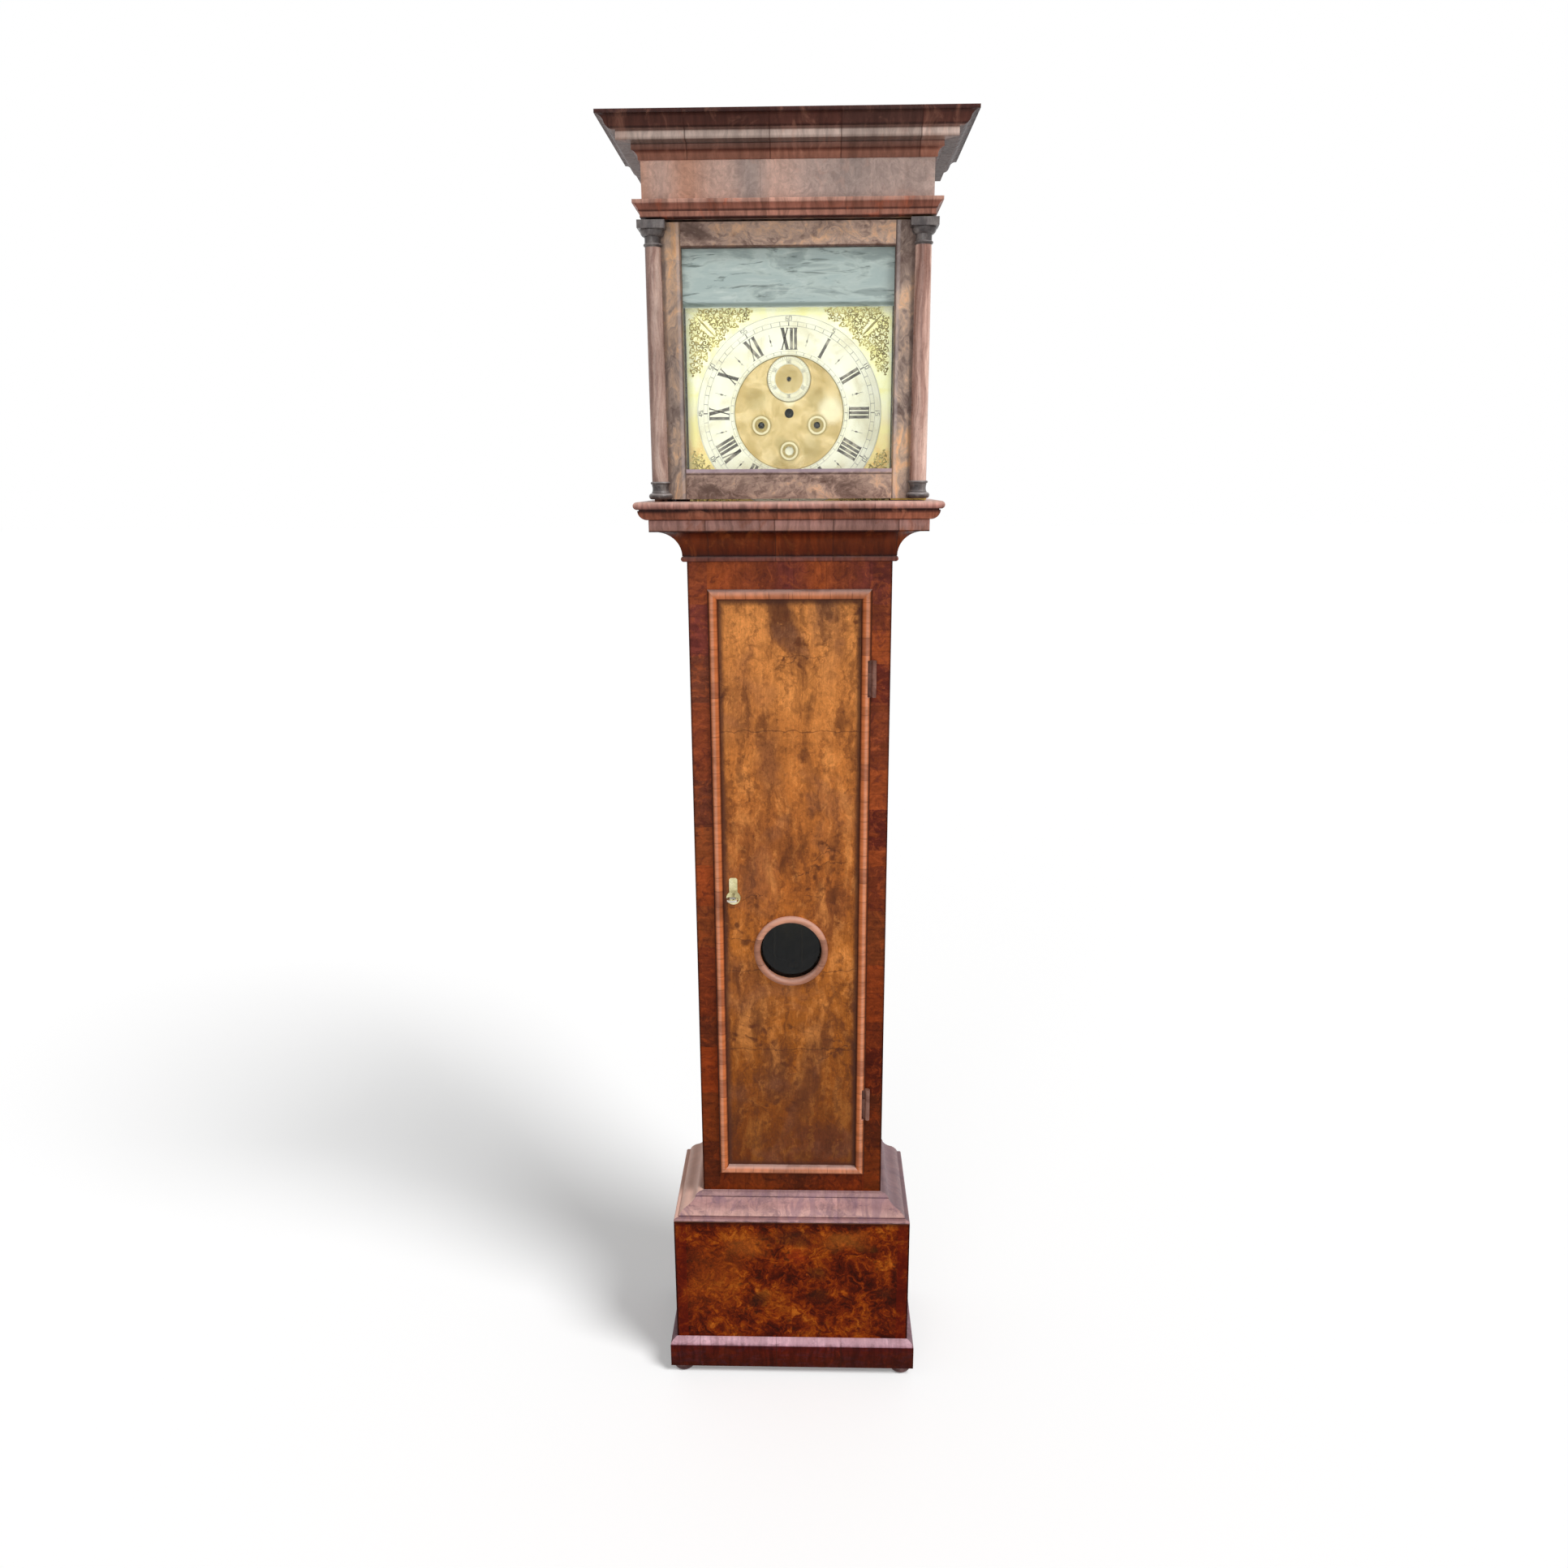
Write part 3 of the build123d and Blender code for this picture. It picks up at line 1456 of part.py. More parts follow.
near = escape_radius + small_gap
arm_inner = near + nose_depth
arm_outer = arm_inner + arm_depth
with BuildPart() as anchor:
    with BuildSketch(dial_face(escape_wheel_y + anchor_margin)):
        with BuildLine():
            Polyline(
                beside_wheel(arm_inner, -escape_radius),
                beside_wheel(arm_inner, -pallet_half - pallet_slope),
                beside_wheel(near, -pallet_half),
                beside_wheel(near, pallet_half),
                beside_wheel(arm_inner, arm_end),
                beside_wheel(arm_outer, arm_end),
                beside_wheel(arm_outer, -escape_radius),
                close=True,
            )
        make_face()
        mirror(about=Plane.YZ)
        with Locations(swing_place):
            Circle(anchor_boss_radius)
    extrude(amount=thin_wheel + 2 * anchor_margin)
    add(arbor(front_plate_y, cock_y + cock_thickness, arbor_radius, *swing_place))
    add(slab((-arbor_radius, arbor_radius), (crutch_y, crutch_back_y), (fork_bottom, swing_z)))
    add(
        slab(
            (-fork_gap - fork_width, fork_gap + fork_width),
            (crutch_y, crutch_back_y),
            (fork_bottom, fork_top),
        )
    )
    for tine_x in (-fork_gap - fork_width, fork_gap):
        add(slab((tine_x, tine_x + fork_width), (crutch_y, pendulum_y + fork_lap), (fork_bottom, fork_top)))
save("anchor", anchor.part)

cock_z = (swing_z - cock_rise / 2, swing_z + cock_rise)
cock_arm_end = pendulum_y + spring_half + cock_arm_reach
slot_start = pendulum_y - spring_half - slot_relief
arm_bottom = swing_z + cock_arm_rise
arm_top = arm_bottom + cock_arm_thickness
with BuildPart() as back_cock:
    add(slab((-cock_half, cock_half), (cock_y, cock_y + cock_thickness), cock_z))
    for leg_x in (-cock_half, cock_half - cock_leg):
        add(slab((leg_x, leg_x + cock_leg), (back_plate_rear, cock_y), cock_z))
    add(
        slab(
            (-spring_half - slot_half, spring_half + slot_half),
            (cock_y + cock_thickness, cock_arm_end),
            (arm_bottom, arm_top),
        )
    )
    add(
        slab((-slot_half, slot_half), (slot_start, cock_arm_end), (arm_bottom, arm_top)),
        mode=Mode.SUBTRACT,
    )
    with BuildSketch(front_plane(cock_y + cock_thickness, 0, swing_z)):
        Circle(arbor_radius + pivot_hole_clearance)
    extrude(amount=cock_thickness, mode=Mode.SUBTRACT)
save("back_cock", back_cock.part)

# Pendulum: it hangs by a thin strip from the cock, and the bob rides on the rating nut

rod_top = swing_z - spring_length
rod_end = bob_z - bob_radius - rod_tail
spring_y = (pendulum_y - spring_half, pendulum_y + spring_half)
block_bottom = arm_top + small_gap
with BuildPart() as pendulum_rod:
    add(
        slab(
            (-spring_thickness / 2, spring_thickness / 2),
            spring_y,
            (rod_top - spring_grip, block_bottom + block_height / 2),
        )
    )
    add(slab((-block_half, block_half), spring_y, (block_bottom, block_bottom + block_height)))
    add(slab((-block_half, block_half), spring_y, (rod_top - block_height, rod_top)))
    with BuildSketch(Plane.XY.offset(rod_end)):
        with Locations((0, pendulum_y)):
            Circle(rod_radius)
    extrude(amount=rod_top - block_height / 2 - rod_end)
save("pendulum_rod", pendulum_rod.part)

bob_centre = (0, pendulum_y, bob_z)
with BuildPart() as pendulum_bob:
    with BuildSketch(Plane(origin=bob_centre, x_dir=(1, 0, 0), z_dir=(0, 0, -1))):
        with BuildLine():
            half_bob = bob_thickness / 2
            full = bob_fullness * half_bob
            Line((0, -half_bob), (0, half_bob))
            ThreePointArc((0, half_bob), (bob_radius / 2, full), (bob_radius, bob_edge))
            Line((bob_radius, bob_edge), (bob_radius, -bob_edge))
            ThreePointArc((bob_radius, -bob_edge), (bob_radius / 2, -full), (0, -half_bob))
        make_face()
    revolve(axis=Axis(bob_centre, (0, 1, 0)))
    with BuildSketch(Plane.XY.offset(bob_z - bob_radius)):
        with Locations((0, pendulum_y)):
            Circle(rod_radius + running_clearance)
    extrude(amount=2 * bob_radius, mode=Mode.SUBTRACT)
save("pendulum_bob", pendulum_bob.part)

with BuildPart() as rating_nut:
    with BuildSketch(Plane.XY.offset(bob_z - bob_radius - small_gap)):
        with Locations((0, pendulum_y)):
            Circle(nut_radius)
            Circle(rod_radius + running_clearance, mode=Mode.SUBTRACT)
    extrude(amount=-nut_height)
save("rating_nut", rating_nut.part)

# Weights, each on a pulley in the loop of its line

weight_bottom = floor_height + floor_board + weight_clearance
weight_top = weight_bottom + weight_length
neck_top = weight_top + weight_neck_height
pulley_height = weight_top + pulley_rise
strap_gap = pulley_thickness / 2 + small_gap


def weight(place):
    """A cast weight with the stirrup that holds its pulley."""
    shoulder_start = (weight_radius - weight_shoulder, weight_top)
    shoulder_end = (weight_radius, weight_top - weight_shoulder)
    chamfer_top = (weight_radius, weight_bottom + weight_chamfer)
    strap_x = (place - strap_half, place + strap_half)
    strap_top = pulley_height + 2 * pulley_pin_radius
    with BuildPart() as body:
        with BuildSketch(Plane(origin=(place, barrel_middle_y, 0), x_dir=(1, 0, 0), z_dir=(0, -1, 0))):
            with BuildLine():
                Polyline(
                    chamfer_top,
                    (weight_radius - weight_chamfer, weight_bottom),
                    (0, weight_bottom),
                    (0, neck_top),
                    (weight_neck_radius, neck_top),
                    (weight_neck_radius, weight_top),
                    shoulder_start,
                )
                RadiusArc(shoulder_start, shoulder_end, weight_shoulder)
                Line(shoulder_end, chamfer_top)
            make_face()
        revolve(axis=Axis((place, barrel_middle_y, 0), (0, 0, 1)))
        add(
            slab(
                strap_x,
                (barrel_middle_y - strap_gap - strap_wall, barrel_middle_y + strap_gap + strap_wall),
                (neck_top - strap_wall / 2, neck_top + strap_wall),
            )
        )
        for strap_y in (barrel_middle_y - strap_gap - strap_wall, barrel_middle_y + strap_gap):
            add(slab(strap_x, (strap_y, strap_y + strap_wall), (neck_top, strap_top)))
        with BuildSketch(front_plane(barrel_middle_y + strap_gap, place, pulley_height)):
            Circle(pulley_pin_radius)
        extrude(amount=2 * strap_gap)
    return body.part


def pulley(place):
    """A grooved pulley on the stirrup's pin."""
    half = pulley_thickness / 2
    centre = (place, barrel_middle_y, pulley_height)
    bore = pulley_pin_radius + running_clearance
    with BuildPart() as sheave:
        with BuildSketch(Plane(origin=centre, x_dir=(1, 0, 0), z_dir=(0, 0, -1))):
            with BuildLine():
                Polyline(
                    (bore, -half),
                    (bore, half),
                    (pulley_radius, half),
                    (pulley_radius, half - pulley_edge),
                    (pulley_groove_radius, line_radius + small_gap),
                    (pulley_groove_radius, -line_radius - small_gap),
                    (pulley_radius, pulley_edge - half),
                    (pulley_radius, -half),
                    close=True,
                )
            make_face()
        revolve(axis=Axis(centre, (0, 1, 0)))
    return sheave.part


def strand(x, bottom, top):
    """A straight stretch of line between two heights."""
    with BuildPart() as length:
        with BuildSketch(Plane.XY.offset(bottom)):
            with Locations((x, barrel_middle_y)):
                Circle(line_radius)
        extrude(amount=top - bottom)
    return length.part


barrel_z = dial_centre_height - winding_drop
line_tops = []
for name, side in (("going", 1), ("strike", -1)):
    place = pulley_places[side]
    save(f"{name}_weight", weight(place))
    save(f"{name}_pulley", pulley(place))
    save(
        f"{name}_line",
        strand(place - pulley_offset, pulley_height, seat_bottom - small_gap),
        strand(place + pulley_offset, pulley_height, seat_bottom - small_gap),
    )
    line_tops.append(strand(place - pulley_offset, seat_bottom, barrel_z))
    knot = strand(place + pulley_offset, seat_bottom, seat_top)
    with BuildPart() as knotted:
        add(knot)
        with BuildSketch(Plane.XY.offset(seat_top)):
            with Locations((place + pulley_offset, barrel_middle_y)):
                Circle(line_hole_radius + knot_lap)
        extrude(amount=3 * line_radius)
    line_tops.append(knotted.part)
save("line_ends", *line_tops)

# Bell and hammer

bell_rim = dial_centre_height + plate_above + bell_rise
bell_y = train_y + plate_gap / 2
bell_top = bell_rim + bell_radius
with BuildPart() as bell:
    with BuildSketch(Plane(origin=(bell_x, bell_y, bell_rim), x_dir=(1, 0, 0), z_dir=(0, -1, 0))):
        with BuildLine():
            hollow = bell_radius - bell_wall
            Line((0, hollow), (0, bell_radius))
            ThreePointArc((0, bell_radius), polar(bell_radius, pi / 4), (bell_radius, 0))
            Line((bell_radius, 0), (hollow, 0))
            ThreePointArc((hollow, 0), polar(hollow, pi / 4), (0, hollow))
        make_face()
    revolve(axis=Axis((bell_x, bell_y, bell_rim), (0, 0, 1)))
save("bell", bell.part)
stand_bottom = dial_centre_height + plate_above - stand_lap
stand_under = bell_top + stand_gap
stand_top = stand_under + plate_thickness
stand_end = bell_y - stand_reach - back_plate_rear
stand_origin = (bell_x - stand_width / 2, back_plate_rear, 0)
with BuildPart() as bell_stand:
    with BuildSketch(Plane(origin=stand_origin, x_dir=(0, 1, 0), z_dir=(1, 0, 0))):
        with BuildLine():
            Polyline(
                (0, stand_bottom),
                (plate_thickness, stand_bottom),
                (plate_thickness, stand_top),
                (stand_end, stand_top),
                (stand_end, stand_under),
                (0, stand_under),
                close=True,
            )
        make_face()
    extrude(amount=stand_width)
    with BuildSketch(Plane(origin=(bell_x, bell_y, bell_top), z_dir=(0, 0, 1))):
        Circle(stand_boss_radius)
    extrude(amount=stand_gap + plate_thickness / 2)
save("bell_stand", bell_stand.part)

hammer_place = (hammer_x, hammer_rise)
hammer_z = dial_centre_height + hammer_rise
head_height = bell_rim + hammer_head_rise
shank_top = head_height + hammer_head_radius / 2
shank_bottom = hammer_z - arbor_radius
head_right = bell_x - bell_radius - hammer_gap
with BuildPart() as hammer:
    add(arbor(front_plate_y, back_plate_rear, arbor_radius, *hammer_place))
    with BuildSketch(front_plane(bell_y + hammer_shank_depth / 2)):
        with Locations((hammer_x, (shank_bottom + shank_top) / 2)):
            Rectangle(hammer_shank_width, shank_top - shank_bottom)
    extrude(amount=hammer_shank_depth)
    with BuildSketch(Plane(origin=(head_right, bell_y, head_height), x_dir=(0, 1, 0), z_dir=(-1, 0, 0))):
        Circle(hammer_head_radius)
    extrude(amount=hammer_head_length)
save("hammer", hammer.part)
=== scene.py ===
import math

import bmesh
import bpy
import numpy as np
from mathutils import Matrix, Vector


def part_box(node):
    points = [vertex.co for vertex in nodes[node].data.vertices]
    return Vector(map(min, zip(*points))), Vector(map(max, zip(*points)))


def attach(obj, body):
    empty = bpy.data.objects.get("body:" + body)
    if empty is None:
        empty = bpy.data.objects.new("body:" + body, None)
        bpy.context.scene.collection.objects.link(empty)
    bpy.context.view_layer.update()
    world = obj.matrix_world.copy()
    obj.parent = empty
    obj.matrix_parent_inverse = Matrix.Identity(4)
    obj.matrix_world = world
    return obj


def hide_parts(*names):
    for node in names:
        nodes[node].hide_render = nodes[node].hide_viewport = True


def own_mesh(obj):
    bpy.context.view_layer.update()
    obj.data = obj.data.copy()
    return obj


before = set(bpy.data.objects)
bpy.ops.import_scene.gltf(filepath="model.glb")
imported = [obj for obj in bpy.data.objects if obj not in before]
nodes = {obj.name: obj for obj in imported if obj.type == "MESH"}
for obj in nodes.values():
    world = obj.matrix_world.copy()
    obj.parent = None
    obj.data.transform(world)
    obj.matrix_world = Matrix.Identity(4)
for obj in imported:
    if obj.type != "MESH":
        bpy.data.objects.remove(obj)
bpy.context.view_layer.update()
print("stage: frame loaded,", len(nodes), "nodes")

# Trunk corner in plan, from which every mitre runs out at 45 degrees, in metres
trunkCorner = {"halfWidth": 0.1625, "front": -0.036}

# Leaves of walnut as they look on the case. A colour of three numbers is a screen colour in 0 to 255, here
# and in all the looks below; a gain is a factor for each of red, green and blue.
veneers = {
    "chestnut": (136, 74, 38), "rust": (160, 76, 34), "russet": (120, 56, 32), "umber": (92, 50, 36),
    "maroon": (100, 44, 42), "oxblood": (84, 26, 24), "bark": (54, 24, 16), "fawn": (186, 148, 130),
    "driftwood": (160, 137, 126), "ash": (134, 118, 110), "clay": (176, 118, 86),
}


# Shader building: each helper finds its node tree from the sockets that it is given

def isSocket(value):
    return isinstance(value, bpy.types.NodeSocket)


def linear(colour):
    # Linear colour of a screen colour; sockets and colours of four numbers stay as they are.
    if isSocket(colour) or len(colour) == 4:
        return colour
    level = np.array(colour) / 255
    return (*np.where(level <= 0.04045, level / 12.92, ((level + 0.055) / 1.055) ** 2.4).tolist(), 1)


def plug(value, socket):
    if isSocket(value):
        socket.id_data.links.new(value, socket)
    else:
        socket.default_value = value


def addNode(kind, inputs, tree=None, **settings):
    # New node with its inputs by name or number; the tree is named only where no input is a socket.
    if tree is None:
        tree = next(value.id_data for value in inputs.values() if isSocket(value))
    node = tree.nodes.new(kind)
    for name, value in settings.items():
        setattr(node, name, value)
    for name, value in inputs.items():
        plug(value, node.inputs[name])
    return node


def maths(operation, *values):
    return addNode("ShaderNodeMath", dict(enumerate(values)), operation=operation).outputs[0]


def mathsHelper(operation):
    return lambda *values: maths(operation, *values)


plus, minus, times, divided, larger, above, below, absolute, sign = map(mathsHelper, (
    "ADD", "SUBTRACT", "MULTIPLY", "DIVIDE", "MAXIMUM", "GREATER_THAN", "LESS_THAN", "ABSOLUTE", "SIGN"))


def gap(first, second):
    return absolute(minus(first, second))


def spread(value, low, high, start=0, end=1):
    # Value from low to high eased onto start to end.
    inputs = {"Value": value, "From Min": low, "From Max": high, "To Min": start, "To Max": end}
    return addNode("ShaderNodeMapRange", inputs, interpolation_type="SMOOTHSTEP").outputs[0]


def choose(flag, first, second):
    # First number where the flag is 0, second where it is 1.
    return addNode("ShaderNodeMix", {0: flag, 2: first, 3: second}, data_type="FLOAT").outputs[0]


def paint(colour, share, laidColour):
    # A colour laid over another by a share of 0 to 1.
    inputs = {0: share, 6: linear(colour), 7: linear(laidColour)}
    return addNode("ShaderNodeMix", inputs, data_type="RGBA").outputs[2]


def shade(colour, factor):
    # Colour made lighter or darker by a factor about 1, or vector made longer or shorter.
    return addNode("ShaderNodeVectorMath", {0: colour, "Scale": factor}, operation="SCALE").outputs[0]


def vary(colour, pattern, darkest, lightest):
    # Colour made darker and lighter by a noise.
    return shade(colour, spread(pattern, 0.3, 0.7, darkest, lightest))


def ramp(value, stops, interpolation="LINEAR"):
    node = addNode("ShaderNodeValToRGB", {"Fac": value})
    node.color_ramp.interpolation = interpolation
    elements = node.color_ramp.elements
    while len(elements) < len(stops):
        elements.new(1)
    for element, (position, colour) in zip(elements, stops):
        element.position = position
    for element, (position, colour) in zip(elements, stops):
        element.color = linear(colour)
    return node.outputs[0]


def layout(place, start, sequence, interpolation="CONSTANT"):
    # Colours of veneer leaves laid one after another: (where each ends, its name).
    length = sequence[-1][0] - start
    begins = [start] + [end for end, name in sequence[:-1]]
    stops = [((begin - start) / length, veneers[name]) for begin, (end, name) in zip(begins, sequence)]
    return ramp(divided(minus(place, start), length), stops, interpolation)


def noise(vector, scale, detail=4, roughness=0.55, distortion=0, output=0):
    inputs = {"Vector": vector, "Scale": scale, "Detail": detail, "Roughness": roughness,
              "Distortion": distortion}
    return addNode("ShaderNodeTexNoise", inputs).outputs[output]


def separate(vector):
    return addNode("ShaderNodeSeparateXYZ", {"Vector": vector}).outputs


def combine(x=0, y=0, z=0):
    return addNode("ShaderNodeCombineXYZ", {"X": x, "Y": y, "Z": z}).outputs[0]


def vectorHelper(operation, output):
    return lambda first, second: addNode("ShaderNodeVectorMath", {0: first, 1: second},
                                         operation=operation).outputs[output]


scaled = vectorHelper("MULTIPLY", 0)
moved = vectorHelper("ADD", 0)
distance = vectorHelper("DISTANCE", "Value")


def wander(vector, scale, detail, roughness, reach):
    # Offset that drifts to all sides with soft noise, by up to about half the reach.
    waves = noise(vector, scale, detail, roughness, output=1)
    return shade(moved(waves, (-0.5, -0.5, -0.5)), reach)


def useGroup(group, *values):
    # Outputs of a node group whose inputs get the values in their order.
    return addNode("ShaderNodeGroup", dict(enumerate(values)), node_tree=group).outputs


def makeGroup(name, inputs, build):
    # Node group whose build function turns its inputs into a dictionary of numbers; None is a vector input.
    group = bpy.data.node_groups.new(name, "ShaderNodeTree")
    for label, value in inputs.items():
        kind = "NodeSocketVector" if value is None else "NodeSocketFloat"
        socket = group.interface.new_socket(name=label, in_out="INPUT", socket_type=kind)
        if value is not None:
            socket.default_value = value
    results = build(group.nodes.new("NodeGroupInput").outputs)
    for label in results:
        group.interface.new_socket(name=label, in_out="OUTPUT", socket_type="NodeSocketFloat")
    ending = group.nodes.new("NodeGroupOutput").inputs
    for label, value in results.items():
        plug(value, ending[label])
    return group


def mitreNumbers(given):
    # Place along a moulding that runs round three sides: x on the front, y on the returns.
    x, y, z = separate(given["Vector"])
    front = above(minus(trunkCorner["front"], y), minus(absolute(x), trunkCorner["halfWidth"]))
    return {"Along": choose(front, plus(y, times(sign(x), 3)), x), "Front": front}


def leafNumbers(given):
    # Cross-banding: leaves of veneer along a strip, each with its own tone and with figure across it.
    along, across = given["Along"], given["Across"]
    place = plus(divided(along, given["Leaf"]), given["Seed"])
    cell, edge = [addNode("ShaderNodeTexVoronoi", {"W": place, "Scale": 1, "Randomness": 0.7},
                          voronoi_dimensions="1D", feature=feature).outputs
                  for feature in ("F1", "DISTANCE_TO_EDGE")]
    shades = separate(cell["Color"])
    own = times(shades[0], 40)
    bend = times(noise(combine(along, across, own), 22), 0.02)
    streaks = combine(plus(along, bend), times(across, 0.16), own)
    curls = combine(along, times(across, 0.8), own)
    return {"Tone": shades[0], "Second": shades[1],
            "Joint": spread(times(edge[0], given["Leaf"]), 0.0003, 0.0014, 1, 0),
            "Streak": noise(streaks, 130, 5, 0.62), "Curl": noise(curls, 30, 4, 0.6, 1.6)}


def figureNumbers(given):
    # Long-grain walnut: cloudy figure, fibres and short pores along z.
    bent = moved(given["Vector"], wander(given["Vector"], 7, 3, 0.5, given["Warp"]))
    pores = noise(scaled(bent, (1, 1, 0.06)), 1500, 2, 0.5)
    return {"Cloud": noise(scaled(bent, combine(1, 1, given["Stretch"])), given["Scale"], 5, 0.6),
            "Fibre": noise(scaled(bent, (1, 1, 0.05)), 420, 4, 0.65),
            "Pore": spread(pores, 0.62, 0.72)}


def burrNumbers(given):
    # Burr: swirled clouds, bright shreds and clustered dark eyes.
    base = shade(given["Vector"], given["Scale"])
    bent = moved(base, wander(base, 11, 4, 0.6, 0.10))
    cells = addNode("ShaderNodeTexVoronoi", {"Vector": bent, "Scale": 48, "Randomness": 1}).outputs
    crowd = spread(noise(base, 9, 2, 0.5), 0.5, 0.62)
    return {"Cloud": noise(base, 8, 3, 0.55, 0.8), "Swirl": noise(bent, 26, 7, 0.66, 1.8),
            "Eye": times(spread(cells["Distance"], 0.12, 0.42, 1, 0), crowd),
            "Shred": noise(bent, 90, 4, 0.7, 1)}


def patchNumbers(given):
    # Soft-edged patch in the plane of a front.
    rise = minus(given["Z"], given["Centre Z"])
    run = minus(minus(given["X"], given["Centre X"]), times(rise, given["Lean"]))
    wide = divided(absolute(run), given["Half Width"])
    high = divided(absolute(rise), given["Half Height"])
    reach = maths("SMOOTH_MAX", wide, high, 0.35)
    return {"Mask": spread(reach, minus(1, given["Soft"]), plus(1, given["Soft"]), 1, 0)}


def patinaNumbers(given):
    # Painted sheen: pale colour on faces that look up, as if they reflected the bright room; grime in soft
    # patches, and the rub of handling.
    up = spread(separate(given["Normal"])[2], 0.05, 0.75)
    mottle = spread(noise(given["Vector"], 34, 5, 0.65), 0.3, 0.62, 0.55, 1)
    return {"PaintedSheen": times(times(up, mottle), given["PaintedSheen"]),
            "Grime": spread(noise(given["Vector"], 13, 5, 0.6, 0.4), 0.5, 0.72),
            "Rub": noise(given["Vector"], 240, 3, 0.6)}


def tarnishNumbers(given):
    # Old metal: broad cloudy tarnish, small specks and fine rubbed scratches.
    base = shade(given["Vector"], given["Scale"])
    return {"Cloud": noise(base, 24, 6, 0.62, 0.6),
            "Speck": spread(noise(base, 420, 3, 0.6), 0.58, 0.72),
            "Scratch": noise(scaled(base, (1, 1, 12)), 300, 4, 0.7)}


mitre = makeGroup("Mitred run", {"Vector": None}, mitreNumbers)
leaves = makeGroup("Laid veneer", {"Along": 0, "Across": 0, "Leaf": 0.1, "Seed": 0}, leafNumbers)
figure = makeGroup("Walnut figure", {"Vector": None, "Scale": 14, "Stretch": 0.2, "Warp": 0.03},
                   figureNumbers)
burr = makeGroup("Burr walnut", {"Vector": None, "Scale": 1}, burrNumbers)
patch = makeGroup("Veneer patch", {"X": 0, "Z": 0, "Centre X": 0, "Centre Z": 0, "Half Width": 0.02,
                                   "Half Height": 0.02, "Soft": 0.3, "Lean": 0}, patchNumbers)
patinaAndSheen = makeGroup("PatinaAndSheen", {"Vector": None, "Normal": None, "PaintedSheen": 0.5}, patinaNumbers)
tarnish = makeGroup("Tarnish", {"Vector": None, "Scale": 1}, tarnishNumbers)


def newMaterial(name, specular, roughness=0.4, metallic=0):
    # Material with its shader, and the object coordinates whole and split up, with the normal.
    material = bpy.data.materials.new(name)
    material.use_nodes = True
    shader = material.node_tree.nodes["Principled BSDF"]
    for label, value in (("Roughness", roughness), ("Specular IOR Level", specular), ("Metallic", metallic)):
        plug(value, shader.inputs[label])
    where = addNode("ShaderNodeTexCoord", {}, material.node_tree).outputs
    x, y, z = separate(where["Object"])
    return material, shader, {"vector": where["Object"], "normal": where["Normal"], "x": x, "y": y, "z": z}


def addRelief(shader, height, strength, depth):
    bump = addNode("ShaderNodeBump", {"Height": height, "Strength": strength, "Distance": depth})
    plug(bump.outputs[0], shader.inputs["Normal"])


def onReturns(place, colour, look):
    # Painted light and shade on the returns along the sides, which differ from the front: each side has a
    # colour and its share.
    for side, beyond in (("left", below), ("right", above)):
        if side in look:
            laidColour, share = look[side]
            away = minus(1, useGroup(mitre, place["vector"])["Front"])
            colour = paint(colour, times(times(away, beyond(place["x"], 0)), share), laidColour)
    return colour


def finishWood(shader, place, colour, look, height):
    # Painted sheen on faces that look up, grime, gloss and relief that every wooden piece shares.
    ageAndSheen = useGroup(patinaAndSheen, place["vector"], place["normal"], look.get("paintedSheen", 0.5))
    grime = times(ageAndSheen["Grime"], look.get("grime", 0.25))
    colour = paint(colour, grime, look.get("grimeColour", veneers["bark"]))
    colour = paint(colour, ageAndSheen["PaintedSheen"], look.get("paintedSheenColour", (176, 146, 140)))
    colour = scaled(onReturns(place, colour, look), look.get("gain", (1, 1, 1)))
    plug(colour, shader.inputs["Base Color"])
    rough = look.get("rough", 0.38)
    plug(spread(ageAndSheen["Rub"], 0.3, 0.7, rough - 0.07, rough + 0.1), shader.inputs["Roughness"])
    addRelief(shader, height, look.get("bump", 0.25), 0.0006)


